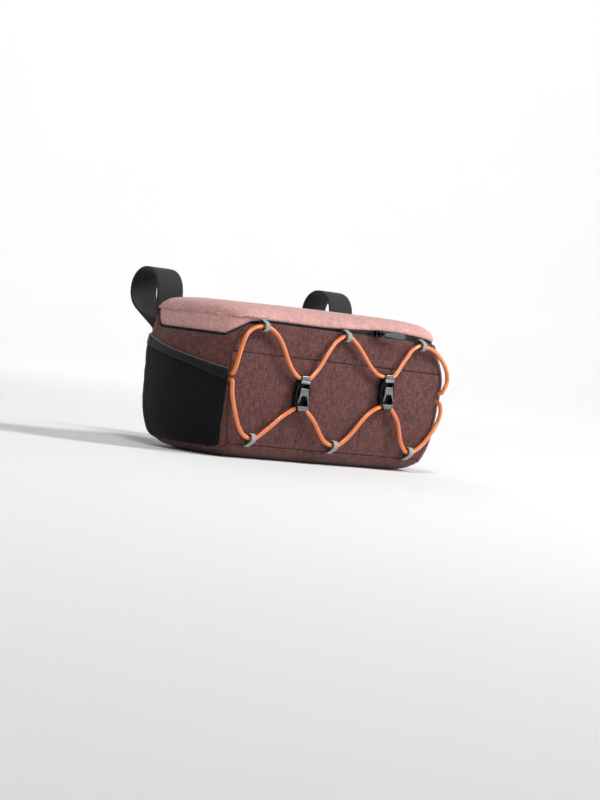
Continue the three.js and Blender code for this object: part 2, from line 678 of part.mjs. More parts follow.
// A clip stands upright on the cord: a barrel round each run, and between them a waisted plate with a
// slot under the upper barrel and a pointed window over the lower one.
function clip({ x, z, lean }) {
  const onCords = (radius, length) => [1, -1].map((end) =>
    rod(radius, length, ROUND_SIDES).rotateZ(Math.PI / 2).translate(0, 0, end * CLIP_HEIGHT / 2));
  const barrels = onCords(CLIP_BARREL, CLIP_BARREL_LENGTH);
  const holes = onCords(CLIP_HOLE, 2 * CLIP_BARREL_LENGTH);
  const through = 3 * CLIP_THICK;
  const body = join(plate(CLIP_EDGE, CLIP_THICK), ...barrels);
  const { point } = frontPlace(x, z, CORD_LIFT);
  return cut(body, plate(CLIP_WINDOW, through), plate(CLIP_SLOT, through), ...holes)
    .rotateY(THREE.MathUtils.degToRad(lean)).translate(point.x, point.y, point.z);
}

// The slider sits in the zip's groove with two ears that hold an upright pin, and the pull turns on it.
function sliderPlace() {
  const skin = frontPlace(SLIDER_X, SECTIONS[LID_EDGE].z, 0).point;
  const lidEdge = SECTIONS[LID_EDGE].z + lidLift(SLIDER_X, LID_EDGE);
  const backFace = skin.y + TAPE_RECESS - SEAM_GAP;
  const frontFace = backFace - SLIDER_DEPTH;
  const z = (SECTIONS[ZIP_LINE].z + lidEdge) / 2;
  return { z, backFace, frontFace, pinY: frontFace - EYE_RADIUS - SEAM_GAP };
}

function zipSlider() {
  const { z, backFace, frontFace, pinY } = sliderPlace();
  const body = block(SLIDER_LENGTH, SLIDER_DEPTH, SLIDER_HEIGHT, 0, (backFace + frontFace) / 2, z);
  const earZ = (SLIDER_HEIGHT - EAR_THICK) / 2;
  const earBack = frontFace + EAR_ROOT;
  const earFront = pinY - EAR_PAST_PIN;
  const ears = [earZ, -earZ].map((up) =>
    block(EAR_WIDTH, earBack - earFront, EAR_THICK, 0, (earBack + earFront) / 2, z + up));
  const pin = rod(PIN_RADIUS, SLIDER_HEIGHT - EAR_THICK, PIN_SIDES).rotateX(Math.PI / 2);
  return join(body, ...ears, pin.translate(0, pinY, z)).translate(SLIDER_X, 0, 0);
}

function zipPull() {
  const { z, pinY } = sliderPlace();
  const eyeHeight = SLIDER_HEIGHT - 2 * EAR_THICK - 2 * SEAM_GAP;
  const eye = rod(EYE_RADIUS, eyeHeight, ROUND_SIDES).rotateX(Math.PI / 2);
  const neckLength = PULL_NECK.to - PULL_NECK.from;
  const neck = block(neckLength, PULL_THICK, eyeHeight, (PULL_NECK.from + PULL_NECK.to) / 2, 0, 0);
  const grip = plate(PULL_EDGE, PULL_THICK).rotateY(Math.PI / 2);
  const hole = rod(EYE_HOLE, 3 * eyeHeight, PIN_SIDES).rotateX(Math.PI / 2);
  return cut(join(eye, neck, grip), hole).translate(SLIDER_X, pinY, z);
}

// Assembly

const bag = new THREE.Group();
bag.name = 'handlebar_bag';

function add(name, geometry, material) {
  const mesh = new THREE.Mesh(geometry, material());
  mesh.name = name;
  bag.add(mesh);
}

add('bottom_tray', dish({ rim: trayRim, last: BASE, rows: 6, top: 0, away: -1 }), BODY_CLOTH);
add('front_panel', wallPanel(LEFT_FRONT, RIGHT_FRONT, trayRim, constant(UPPER_SEAM), 7), BODY_CLOTH);
const yoke = wallPanel(LEFT_FRONT, RIGHT_FRONT, constant(UPPER_SEAM), zipLine, 3);
add('front_yoke', yoke, BODY_CLOTH);
add('end_panel_left', wallPanel(LEFT_BACK, LEFT_FRONT, trayRim, zipLine, 10), BODY_CLOTH);
add('end_panel_right', wallPanel(RIGHT_FRONT, RIGHT_BACK, trayRim, zipLine, 10), BODY_CLOTH);
add('back_panel', wallPanel(RIGHT_BACK, AROUND, trayRim, constant(LID_EDGE), 9), BODY_CLOTH);
add('lid', dish({ rim: lidRim, last: CROWN, rows: 6, top: LID_TOP, away: 1 }), LID_CLOTH);
add('zip_tape', panel({
  from: LEFT_BACK,
  to: RIGHT_BACK,
  low: zipLine,
  high: lidRim,
  rows: 1,
  outside: constant(-TAPE_RECESS),
  inside: constant(-TAPE_RECESS - TAPE_THICK),
}), ZIP_TAPE);
add('zip_slider', zipSlider(), ZIP_METAL);
add('zip_pull', zipPull(), ZIP_METAL);

for (const end of ENDS) {
  add(`mesh_pocket_${end.side}`, pocketPiece(end, 'mesh'), BLACK_KNIT);
  add(`pocket_hem_${end.side}`, pocketPiece(end, 'hem'), ELASTIC_HEM);
}

const UP = new THREE.Vector3(0, 0, 1);
const DOWN = new THREE.Vector3(0, 0, -1);
for (const place of [-1, 0, 1]) {
  add(`tab_top_${place + 2}`, tab('top', place * TAB_SPACING, TAB_TOP, UP), WEBBING);
  add(`tab_bottom_${place + 2}`, tab('bottom', place * TAB_SPACING, TAB_BOTTOM, DOWN), WEBBING);
}
for (const [side, sign] of [['left', -1], ['right', 1]]) {
  add(`strap_${side}`, strap(sign * STRAP_X), STRAP_CLOTH);
}

add('bungee_upper', cord(CORD_UPPER), CORD_SHEATH);
add('bungee_lower', cord(CORD_LOWER), CORD_SHEATH);
for (const row of CLIPS) add(row.name, clip(row), GLOSS_PLASTIC);

export default bag;
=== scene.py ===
"""Looks of a handlebar bag: padded cloth, a domed lid, mesh pockets, laced cord and bar straps."""
from collections import namedtuple
from functools import lru_cache

import bmesh
import bpy
import numpy as np
from mathutils import Matrix, Vector


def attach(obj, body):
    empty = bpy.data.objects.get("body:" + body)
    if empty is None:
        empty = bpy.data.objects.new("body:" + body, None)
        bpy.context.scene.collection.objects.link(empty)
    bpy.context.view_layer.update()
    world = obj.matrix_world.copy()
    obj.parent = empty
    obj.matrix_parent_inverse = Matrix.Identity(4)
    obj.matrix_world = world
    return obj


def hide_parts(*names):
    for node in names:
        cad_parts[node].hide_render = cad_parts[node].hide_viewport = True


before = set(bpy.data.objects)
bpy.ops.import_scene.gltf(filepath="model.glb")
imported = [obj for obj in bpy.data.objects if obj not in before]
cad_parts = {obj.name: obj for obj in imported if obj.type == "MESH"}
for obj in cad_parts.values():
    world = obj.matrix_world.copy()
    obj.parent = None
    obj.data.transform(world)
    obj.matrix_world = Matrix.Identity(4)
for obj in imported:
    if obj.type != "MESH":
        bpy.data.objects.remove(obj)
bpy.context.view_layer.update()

bl_info = {
    "name": "Handlebar bag",
    "version": (1, 0, 0),
    "blender": (4, 5, 0),
    "location": "View3D > Sidebar > Bag",
    "description": "Builds the sewn, laced and moulded pieces of a handlebar bag around its packed frame",
    "category": "Object",
}

MM = 0.001
UV_NAME = "weave"
BAG = "bag"

# Shape of the bag, in millimetres
Section = namedtuple("Section", "level z half front back front_corner back_corner")
SECTIONS = [
    Section("base edge", 0, 92, 33, 20, 14, 14),
    Section("tray turn", 2, 102, 42, 30, 17, 16),
    Section("tray wall", 5.2, 107.8, 46.8, 35.1, 18.5, 16.7),
    Section("bottom seam", 10.4, 113, 50.9, 40.3, 19, 17.7),
    Section("lower body", 29, 116.4, 54.2, 45.7, 15.5, 18),
    Section("middle", 62, 117.5, 55.5, 48, 12, 18),
    Section("upper seam", 80, 117, 55, 48, 12, 18),
    Section("zip line", 104, 111.5, 52.8, 47.5, 20, 18),
    Section("lid edge", 106.5, 110.9, 53.8, 48, 23, 18),
    Section("lid shoulder", 111, 108.6, 51, 46, 22, 18),
    Section("crown rim", 115, 101, 43, 41, 20, 16),
    Section("crown", 117.5, 86, 29, 29, 16, 14),
]
LEVELS = [section.level for section in SECTIONS]
BASE = LEVELS.index("base edge")
BOTTOM_SEAM = LEVELS.index("bottom seam")
UPPER_SEAM = LEVELS.index("upper seam")
ZIP_LINE = LEVELS.index("zip line")
LID_EDGE = LEVELS.index("lid edge")
CROWN_RIM = LEVELS.index("crown rim")
CROWN = LEVELS.index("crown")
LID_TOP = 119.4
LID_LIFT = 3.0
LID_LIFT_ALONG = (-25, 55)
LID_LIFT_FORWARD = (-10, 30)
LID_LIFT_CROWN = 0.7
LID_NOSE = (60, 105)
ZIP_DIP = 13
DIP_FRONT = (13.7, 9.4)
DIP_EASE = 0.85
DIP_BACK = (0.3, 3.5)
RIM_DROP = 0.7
FRONT_BOW = 2.0
END_BOW = 4.0

# Runs of the plan outline, counter-clockwise from the middle of the back left corner
Run = namedtuple("Run", "steps bow end side turn_from turn_to")
OUTLINE = [
    Run(3, None, "back", -1, 135, 180),
    Run(4, END_BOW, "", 0, 0, 0),
    Run(6, None, "front", -1, 180, 270),
    Run(8, FRONT_BOW, "", 0, 0, 0),
    Run(6, None, "front", 1, 270, 360),
    Run(4, END_BOW, "", 0, 0, 0),
    Run(6, None, "back", 1, 0, 90),
    Run(8, 0, "", 0, 0, 0),
    Run(3, None, "back", -1, 90, 135),
]
AROUND = sum(run.steps for run in OUTLINE)
LEFT_BACK, LEFT_FRONT, RIGHT_FRONT, RIGHT_BACK = 0, 12, 22, 34
ENDS = {"left": (LEFT_FRONT, LEFT_BACK), "right": (RIGHT_FRONT, RIGHT_BACK)}

# Pockets on the ends: places along the outline and heights in sections, then sizes in millimetres
POCKET_MARGIN = 0.35
POCKET_SETBACK = {"left": POCKET_MARGIN, "right": 4.4}
POCKET_SLANT = 0.9
POCKET_FOOT = 0.3
POCKET_TOP_FRONT = 5.22
POCKET_TOP_BACK = 6.25
POCKET_WAY = ((0, 3, 7, 12), (0, 0.14, 0.85, 1))
POCKET_SEED = {"left": 1.0, "right": 2.0}
POCKET_PUFF = 1.2
KNIT_STAND = 0.9
HEM_HEIGHT = 0.38
HEM_STAND = 1.5
HEM_THICK = 1.2
HEM_GRID = 1.0

# Laced cord, with the half length that a tab or clip holds and how far the cord bends there
CORD_LIFT = 4.6
CORD_RADIUS = 1.68
CORD_END = -1.2
CORD_STEP = 0.9
HELD = {"tab": (3.6, 0.3), "clip": (4.6, 0.2)}
TAB_X = (-82, 0, 82)
TAB_TOP = 101.1
TAB_BOTTOM = 16.4

# Stops along the cord: across the front, height, what holds it there, and its lift off the front
Stop = namedtuple("Stop", "x z held lift", defaults=("", CORD_LIFT))
LEFT_TOP, MIDDLE_TOP, RIGHT_TOP = (Stop(x, TAB_TOP, "tab") for x in TAB_X)
LEFT_LOW, MIDDLE_LOW, RIGHT_LOW = (Stop(x, TAB_BOTTOM, "tab") for x in TAB_X)
CORD_UPPER = [
    Stop(-107, 63.3, "", CORD_END), Stop(-107.2, 64, "", 2.9), Stop(-107.2, 66.6, "", 4.4),
    Stop(-106.8, 69.6), Stop(-105.6, 75.9),
    Stop(-103.8, 82.3), Stop(-101.4, 88.7), Stop(-98, 94.6), Stop(-92.6, 99), LEFT_TOP,
    Stop(-71.4, 97.2), Stop(-66, 91.8), Stop(-62.3, 85.9), Stop(-58.8, 79.3), Stop(-54.9, 73.3),
    Stop(-49.8, 68.2), Stop(-40.4, 65.3, "clip"), Stop(-30.6, 70.1), Stop(-25.5, 76.4), Stop(-20.3, 84.5),
    Stop(-15.6, 90.8), Stop(-10.4, 96.8), MIDDLE_TOP, Stop(11, 96.1), Stop(16.6, 90.8),
    Stop(21.8, 85.2), Stop(27.7, 79.4), Stop(34.4, 75.1), Stop(45.6, 73.4, "clip"), Stop(56.2, 79.1),
    Stop(60.6, 85.3), Stop(65.9, 91.6), Stop(71, 97.3), RIGHT_TOP, Stop(91.4, 99.9, "", 4.3),
    Stop(97.5, 97.6, "", 4.1), Stop(103, 93.3, "", 4.3), Stop(107.5, 88.3, "", 4.9),
    Stop(110.4, 82.4, "", 5.2), Stop(111.2, 75.4, "", 5), Stop(109.6, 70), Stop(108.3, 65.9, "", 3.2),
    Stop(108.4, 65.1, "", CORD_END),
]
CORD_LOWER = [
    Stop(-107, 58.9, "", CORD_END), Stop(-107.2, 58.2, "", 2.9), Stop(-107.2, 55.6, "", 4.4),
    Stop(-107, 52.6), Stop(-106.2, 48),
    Stop(-104.2, 41), Stop(-100.8, 32.4), Stop(-96.6, 25), Stop(-91.2, 19.2), LEFT_LOW,
    Stop(-71.2, 22.4), Stop(-64.2, 28.6), Stop(-57.4, 34.6), Stop(-50.6, 39.2), Stop(-40.9, 42.1, "clip"),
    Stop(-29.6, 37.8), Stop(-22.6, 31.5), Stop(-17.2, 25.3), Stop(-10.8, 19.4), MIDDLE_LOW,
    Stop(10.2, 21.2), Stop(16.2, 27.6), Stop(22.8, 35.9), Stop(29.2, 42.8), Stop(36.6, 47.9),
    Stop(47, 50.2, "clip"), Stop(57.6, 45.6), Stop(63.4, 38.6), Stop(66.8, 30.8), Stop(71, 22.8),
    RIGHT_LOW, Stop(90.6, 19.4, "", 4.2), Stop(96.4, 23.9, "", 3.8), Stop(101, 29.5, "", 3.6),
    Stop(105.2, 36.4, "", 3.6), Stop(108.6, 43.4, "", 3.8), Stop(109.3, 50.4, "", 4.2),
    Stop(108.4, 54.4, "", 4), Stop(108.2, 57.3, "", 3), Stop(108.4, 58, "", CORD_END),
]

# Webbing tabs: how far the fold stands off, where its sewn end sits and how far away that is
TAB_HALF_WIDTH = 2.2
TAB_HALF_THICK = 0.55
TAB_FOLD = 3.35
TAB_END_FOLD = 0.7
TAB_REACH = {"top": 4.2, "bottom": 5.8}
TAB_SEAT = {"top": 1.4, "bottom": -0.1}

# Clips: place and height of the middle, and lean
Clip = namedtuple("Clip", "name x z lean")
CLIPS = [Clip("clip_left", -40.65, 53.7, 1.1), Clip("clip_right", 46.25, 61.8, -3.2)]
CLIP_HALF = 11.6

# Bar straps
STRAP_X = 90
STRAP_HALF_WIDTH = 12.5
STRAP_HALF_THICK = 1.05
STRAP_BACK = 48.4
BAR_RADIUS = 16.2
BAR_Y = 70
BAR_Z = 119
STRAP_FOOT_Z = 57
STRAP_JOIN_Z = 90


def smooth_step(value, low, high):
    share = np.clip((value - low) / (high - low), 0, 1)
    return share * share * (3 - 2 * share)


def unit(vectors):
    return vectors / np.linalg.norm(vectors, axis=-1, keepdims=True)


def along_line(points):
    """How far along the line each point lies."""
    steps = np.linalg.norm(np.diff(points, axis=0), axis=1)
    return np.concatenate([[0], np.cumsum(steps)])


# The bag's skin as a function of a place along the outline and a height counted in sections

SIZES = np.array([section[1:] for section in SECTIONS], float)
BELOW = 2 * SIZES[0] - SIZES[1]
BELOW[0] = SIZES[1, 0]
SIZES = np.vstack([BELOW, SIZES, 2 * SIZES[-1] - SIZES[-2]])
Z, HALF, FRONT, BACK, FRONT_CORNER, BACK_CORNER = range(6)


def section_at(height):
    index = np.clip(np.floor(height).astype(int), 0, len(SECTIONS) - 2)
    a, b, c, d = (SIZES[index + step] for step in range(4))
    share = (height - index)[..., None]
    bend = (2 * a - 5 * b + 4 * c - d) * share ** 2 + (3 * b - a - 3 * c + d) * share ** 3
    return 0.5 * (2 * b + (c - a) * share + bend)


def z_at(height):
    return section_at(height)[..., Z]


SECTION_SAMPLES = 400
HEIGHT_TABLE = np.linspace(BASE, CROWN, SECTION_SAMPLES * CROWN + 1)
Z_TABLE = z_at(HEIGHT_TABLE)


def height_at(z):
    return np.interp(z, Z_TABLE, HEIGHT_TABLE)


def corner_point(section, end, side, degrees):
    radius = section[..., FRONT_CORNER if end == "front" else BACK_CORNER]
    depth = radius - section[..., FRONT] if end == "front" else section[..., BACK] - radius
    angle = np.radians(degrees)
    across = side * (section[..., HALF] - radius) + radius * np.cos(angle)
    return np.stack([across, depth + radius * np.sin(angle)], -1)


def wall_point(section, index, share):
    last = OUTLINE[index - 1]
    following = OUTLINE[index + 1]
    first = corner_point(section, last.end, last.side, last.turn_to)
    along = corner_point(section, following.end, following.side, following.turn_from) - first
    outward = unit(np.stack([along[..., 1], -along[..., 0]], -1))
    swell = OUTLINE[index].bow * (1 - (2 * share - 1) ** 2)
    return first + along * share[..., None] + outward * swell[..., None]


def outline(section, around):
    around = np.mod(around, AROUND)
    points = np.zeros(around.shape + (2,))
    start = 0
    for index, run in enumerate(OUTLINE):
        share = (around - start) / run.steps
        within = (share >= 0) & (share <= 1)
        if run.bow is None:
            turn = run.turn_from + (run.turn_to - run.turn_from) * share
            found = corner_point(section, run.end, run.side, turn)
        else:
            found = wall_point(section, index, share)
        points[within] = found[within]
        start += run.steps
    return points


def lid_lift(x, height):
    fade = np.clip((height - ZIP_LINE) / (LID_EDGE - ZIP_LINE), 0, 1)
    up = np.clip((height - LID_EDGE) / (CROWN - LID_EDGE), 0, 1)
    low = np.clip((CROWN_RIM - height) / (CROWN_RIM - LID_EDGE), 0, 1)
    kept = (1 - (1 - LID_LIFT_CROWN) * up) * (1 - low * smooth_step(x, *LID_NOSE))
    return LID_LIFT * smooth_step(x, *LID_LIFT_ALONG) * fade * kept


def skin(around, height):
    around, height = np.broadcast_arrays(np.asarray(around, float), np.asarray(height, float))
    section = section_at(height)
    plan = outline(section, around)
    forward = smooth_step(-plan[..., 1], *LID_LIFT_FORWARD)
    z = section[..., Z] + forward * lid_lift(plan[..., 0], height)
    return np.concatenate([plan, z[..., None]], -1)


def skin_frame(around, height):
    """Points of the skin and the directions straight out of it."""
    small = 0.02
    across = skin(around + small, height) - skin(around - small, height)
    up = skin(around, np.minimum(height + small, CROWN)) - skin(around, np.maximum(height - small, BASE))
    return skin(around, height), unit(np.cross(across, up))


def zip_fall(around):
    start, stop = DIP_FRONT
    front = np.clip((around - start) / (stop - start), 0, 1) ** DIP_EASE
    return ZIP_DIP * front * smooth_step(around, *DIP_BACK)


def zip_line(around):
    return height_at(SECTIONS[ZIP_LINE].z - zip_fall(around))


def lid_rim(around):
    return height_at(SECTIONS[LID_EDGE].z - zip_fall(around))


def tray_rim(around):
    rim = np.full(np.shape(around), float(BOTTOM_SEAM))
    for front, back in ENDS.values():
        across = 2 * (around - back) / (front - back) - 1
        rim -= RIM_DROP * np.clip(1 - across ** 4, 0, None)
    return rim


def level_line(height):
    return lambda around: np.full(np.shape(around), float(height))


def pocket_mouth(around):
    steps = np.where(np.asarray(around) < LEFT_FRONT + 1, around, RIGHT_BACK - around)
    forward = np.interp(steps, *POCKET_WAY)
    return POCKET_TOP_BACK + (POCKET_TOP_FRONT - POCKET_TOP_BACK) * forward


def front_place(x, z, lift):
    """A point over the front, off it by lift, and the direction straight out of the front there."""
    section = section_at(height_at(np.asarray(z, float)))
    radius = section[..., FRONT_CORNER]
    flat = section[..., HALF] - radius
    turn = np.arcsin(np.clip((np.abs(x) - flat) / radius, 0, 1))
    bow = FRONT_BOW * np.maximum(1 - (x / flat) ** 2, 0)
    out = np.stack([np.sign(x) * np.sin(turn), -np.cos(turn), 0 * turn], -1)
    y = radius - section[..., FRONT] - radius * np.cos(turn) - bow
    return np.stack([x + 0 * y, y, z + 0 * y], -1) + out * np.asarray(lift)[..., None], out


FRONT_MIDDLE = (LEFT_FRONT + RIGHT_FRONT) / 2
STEP_SAMPLES = 40


def rim_length(places):
    """How far round the lid's edge each place of the outline lies."""
    return along_line(skin(places, np.full(places.shape, float(LID_EDGE))))


def rim_arc(around):
    steps = np.arange(AROUND + 1.0)
    return np.interp(around, steps, rim_length(steps))


def even_places(step):
    """Places round the lid's edge at even distances."""
    places = np.linspace(0, AROUND, STEP_SAMPLES * AROUND + 1)
    lengths = rim_length(places)
    return np.interp(np.linspace(0, lengths[-1], int(lengths[-1] / step)), lengths, places)


def front_profile(lowest, highest, count):
    """Heights up the middle of the front, and how far up the skin each of them lies."""
    heights = np.linspace(lowest, highest, count)
    return heights, along_line(skin(np.full(heights.shape, FRONT_MIDDLE), heights))


# Meshes

MERGE = 0.01


def to_mesh(bm, name):
    mesh = bpy.data.meshes.new(name)
    bm.to_mesh(mesh)
    bm.free()
    return mesh


def points_of(mesh):
    flat = np.empty(len(mesh.vertices) * 3)
    mesh.vertices.foreach_get("co", flat)
    return flat.reshape(-1, 3)


def grid_mesh(name, columns, rows, place):
    """A grid whose points are moved to where place puts them, with the cloth's own lengths as UV map."""
    bm = bmesh.new()
    bmesh.ops.create_grid(bm, x_segments=len(columns) - 1, y_segments=len(rows) - 1, size=0.5)
    mesh = to_mesh(bm, name)
    points, cut = place(np.tile(columns, len(rows)), np.repeat(rows, len(columns)))
    mesh.vertices.foreach_set("co", (points * MM).ravel())
    corners = np.empty(len(mesh.loops), int)
    mesh.loops.foreach_get("vertex_index", corners)
    layer = mesh.uv_layers.new(name=UV_NAME)
    layer.data.foreach_set("uv", (cut[corners] * MM).ravel())
    mesh.update()
    return mesh


def close_mesh(mesh, fill=True):
    """Merges points that meet, fills open ends and turns the faces outwards."""
    bm = bmesh.new()
    bm.from_mesh(mesh)
    bmesh.ops.remove_doubles(bm, verts=bm.verts, dist=MERGE * MM)
    if fill:
        bmesh.ops.holes_fill(bm, edges=[edge for edge in bm.edges if edge.is_boundary], sides=0)
    bmesh.ops.recalc_face_normals(bm, faces=bm.faces)
    bm.to_mesh(mesh)
    bm.free()


def show(name, mesh, slot, nodes=(), body=BAG, flat=False, finish=""):
    """Puts a finished mesh in the scene on the body that it moves with."""
    piece = bpy.data.objects.new(name, mesh)
    bpy.context.scene.collection.objects.link(piece)
    mesh.materials.append(finish_for(finish or slot))
    if flat:
        mesh.shade_flat()
    else:
        mesh.shade_smooth()
    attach(piece, body)
    if nodes:
        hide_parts(*nodes)
    return piece


def thicken(piece, thick):
    layer = piece.modifiers.new("thickness", "SOLIDIFY")
    layer.thickness = thick * MM
    layer.offset = -1


def show_padded(name, mesh, slot, node):
    """Shows a piece that is a layer of cloth over soft filling."""
    piece = show(name, mesh, slot, [node])
    thicken(piece, bpy.context.scene.handlebar_bag_sizes.cloth / MM)


# Sewn panels

EDGE_STEPS = np.array([-1.5, -0.6, 0.0, 0.08, 0.25, 0.5, 0.85, 1.3, 1.9, 2.6])


def edge_steps(length, step):
    """Grid lines along a length that crowd together where the cloth turns in at its two seams."""
    count = max(int(round((length - 2 * EDGE_STEPS[-1]) / step)), 2)
    middle = np.linspace(EDGE_STEPS[-1], length - EDGE_STEPS[-1], count + 1)[1:-1]
    return np.concatenate([EDGE_STEPS, middle, length - EDGE_STEPS[::-1]])


def turn_in(distance, radius):
    """How deep a sewn edge lies at a distance from its seam."""
    near = np.clip(1 - distance / radius, 0, 1)
    return radius * (1 - np.sqrt(1 - near ** 2)) + np.clip(-distance, 0, None)


# Waves that make up a seam's gathers: radians in a millimetre, share and shift
WAVES = [(0.83, 1.0, 1.0), (1.31, 0.7, 2.1), (0.37, 0.6, 0.7)]


def ripple(along, seed):
    waves = sum(share * np.sin(pace * along + shift * seed) for pace, share, shift in WAVES)
    return waves / sum(share for _, share, _ in WAVES)


def pucker(along, distance, seed, height, reach):
    """Small gathers that a seam draws into the cloth beside it."""
    return height * ripple(along, seed) * np.exp(-np.clip(distance, 0, None) / reach)


# Folds of the front's cloth: where each starts and stops across and up, its height and its width
Fold = namedtuple("Fold", "start stop height width")
FOLDS = [
    Fold((-109.2, 93), (-103.2, 80.6), 0.9, 1.5),
    Fold((0.5, 96), (-0.5, 82), -0.35, 1.8),
    Fold((-92, 76), (-70, 72), 0.3, 5),
    Fold((62, 24), (96, 30), 0.35, 5),
    Fold((-30, 20), (20, 24), 0.3, 5),
]


def folds(points):
    """How far the folds lift points of the front."""
    lift = np.zeros(len(points))
    for fold in FOLDS:
        start = np.array(fold.start)
        way = np.array(fold.stop) - start
        spot = points[:, [0, 2]] - start
        share = np.clip(spot @ way / (way @ way), 0, 1)
        far = np.linalg.norm(spot - share[:, None] * way, axis=1)
        lift += fold.height * np.exp(-(far / fold.width) ** 2)
    return np.where(points[:, 1] < 0, lift, 0)


def sample(field, columns, rows, along, up):
    """Reads a field of moved points between its grid lines."""
    c = np.clip(np.interp(along, columns, np.arange(len(columns))), 0, len(columns) - 1.001)
    r = np.clip(np.interp(up, rows, np.arange(len(rows))), 0, len(rows) - 1.001)
    ci, ri = c.astype(int), r.astype(int)
    cs, rs = (c - ci)[:, None], (r - ri)[:, None]
    low = field[ci, ri] * (1 - cs) + field[ci + 1, ri] * cs
    high = field[ci, ri + 1] * (1 - cs) + field[ci + 1, ri + 1] * cs
    return low * (1 - rs) + high * rs


SWELL_FRAMES = 20
PADDING = {
    "vertex_group_mass": "sewn", "quality": 6, "mass": 0.15, "tension_stiffness": 40,
    "compression_stiffness": 40, "shear_stiffness": 12, "bending_stiffness": 0.6, "use_pressure": True,
}
PAD_GRID = 3.6
PAD_CELLS = 6


def pad_lines(length):
    """Coarse grid lines along a length of padding."""
    return np.linspace(0, length, max(int(length / PAD_GRID), PAD_CELLS) + 1)


def swell(columns, rows, place, pressure, growth, cap):
    """How a coarse copy of a panel moves when it swells as padded cloth held along its seams."""
    mesh = grid_mesh("padding", columns, rows, place)
    pad = bpy.data.objects.new("padding", mesh)
    scene = bpy.context.scene
    scene.collection.objects.link(pad)
    sewn = np.ones((len(rows), len(columns)), bool)
    sewn[1:-1, 1:-1] = False
    pad.vertex_groups.new(name="sewn").add(np.flatnonzero(sewn).tolist(), 1.0, "REPLACE")
    cloth = pad.modifiers.new("swell", "CLOTH")
    settings = {**PADDING, "uniform_pressure_force": pressure, "shrink_min": -growth}
    for key, value in settings.items():
        setattr(cloth.settings, key, value)
    cloth.settings.effector_weights.gravity = 0
    cloth.collision_settings.use_collision = False
    cloth.point_cache.frame_start = 1
    cloth.point_cache.frame_end = SWELL_FRAMES
    for number in range(1, SWELL_FRAMES + 1):
        scene.frame_set(number)
    settled = pad.evaluated_get(bpy.context.evaluated_depsgraph_get()).to_mesh()
    moved = (points_of(settled) - points_of(mesh)) / MM
    far = np.linalg.norm(moved, axis=1, keepdims=True)
    moved = moved * cap / np.sqrt(cap ** 2 + far ** 2)
    bpy.data.objects.remove(pad)
    bpy.data.meshes.remove(mesh)
    scene.frame_set(1)
    return moved.reshape(len(rows), len(columns), 3).transpose(1, 0, 2)


WALL_SAMPLES = 600
GATHER_REACH = 4.5


class Wall:
    """A panel of the skin between two places along the outline and two edges that may rise and fall."""

    def __init__(self, start, stop, low, high, turns, pad=None, seed=1.0):
        self.low, self.high, self.turns, self.seed = low, high, turns, seed
        self.places = np.linspace(start, stop, WALL_SAMPLES)
        self.lengths = along_line(skin(self.places, 0.5 * (low(self.places) + high(self.places))))
        self.length = self.lengths[-1]
        self.rise = np.max(z_at(high(self.places)) - z_at(low(self.places)))
        if pad:
            self.columns, self.rows = pad_lines(self.length), pad_lines(self.rise)
            self.field = swell(self.columns, self.rows, self.bare, *pad)

    def around(self, along, share):
        """Places along the outline, for lengths along the panel and shares of its rise."""
        return np.interp(np.clip(along, 0, self.length), self.lengths, self.places)

    def share(self, up):
        return np.clip(up / self.rise, 0, 1)

    def spot(self, along, up):
        """Points of the skin, the directions out of it and the cloth's own lengths there."""
        low = z_at(self.low(self.around(along, 0)))
        z = low + (z_at(self.high(self.around(along, 1))) - low) * self.share(up)
        points, out = skin_frame(self.around(along, self.share(up)), height_at(z))
        return points, out, np.stack([along, z + np.minimum(up, 0) + np.maximum(up - self.rise, 0)], -1)

    def bare(self, along, up):
        points, _, cut = self.spot(along, up)
        return points, cut

    def padded(self, along, up):
        """The padded skin before its edges turn in."""
        points, out, cut = self.spot(along, up)
        return points + sample(self.field, self.columns, self.rows, along, up), out, cut

    def edges(self, along, up):
        return {"left": along, "right": self.length - along, "low": up, "high": self.rise - up}

    def place(self, along, up):
        points, out, cut = self.padded(along, up)
        depth = np.zeros(len(along))
        gathers = folds(points)
        for side, distance in self.edges(along, up).items():
            radius, height = self.turns[side]
            depth += turn_in(distance, radius)
            runs = along if side in ("low", "high") else up
            gathers += pucker(runs, distance, self.seed + len(side), height, GATHER_REACH)
        return points + out * (gathers - depth)[:, None], cut

    def mesh(self, name, step, row_step):
        return grid_mesh(name, edge_steps(self.length, step), edge_steps(self.rise, row_step), self.place)

    def line(self, along, up, off):
        """Points on the finished panel, with the directions out of it."""
        points, _ = self.place(along, up)
        _, out, _ = self.spot(along, up)
        return points + out * off, out


# How an edge turns in and how high its gathers are; then pressure, growth and limit of the padding
SEAM = (1.7, 0.22)
CORNER = (1.9, 0.16)
HEM_EDGE = (1.3, 0.2)
FRONT_PAD = (3.0, 0.004, 1.3)
END_PAD = (3.0, 0.003, 1.2)


def edge_turns(sides, low, high):
    return {"left": sides, "right": sides, "low": low, "high": high}


@lru_cache(maxsize=None)
def wall(name):
    sewn = edge_turns(CORNER, SEAM, SEAM)
    hemmed = edge_turns(CORNER, SEAM, HEM_EDGE)
    upper = level_line(UPPER_SEAM)
    spans = {
        "front_panel": (LEFT_FRONT, RIGHT_FRONT, tray_rim, upper, sewn, FRONT_PAD, 1.0),
        "front_yoke": (LEFT_FRONT, RIGHT_FRONT, upper, zip_line, hemmed, FRONT_PAD, 2.3),
        "end_panel_left": (LEFT_BACK, LEFT_FRONT, tray_rim, zip_line, hemmed, END_PAD, 3.1),
        "end_panel_right": (RIGHT_FRONT, RIGHT_BACK, tray_rim, zip_line, hemmed, END_PAD, 4.7),
        "back_panel": (RIGHT_BACK, AROUND, tray_rim, level_line(LID_EDGE), sewn, END_PAD, 5.9),
    }
    return Wall(*spans[name])


# Finishes

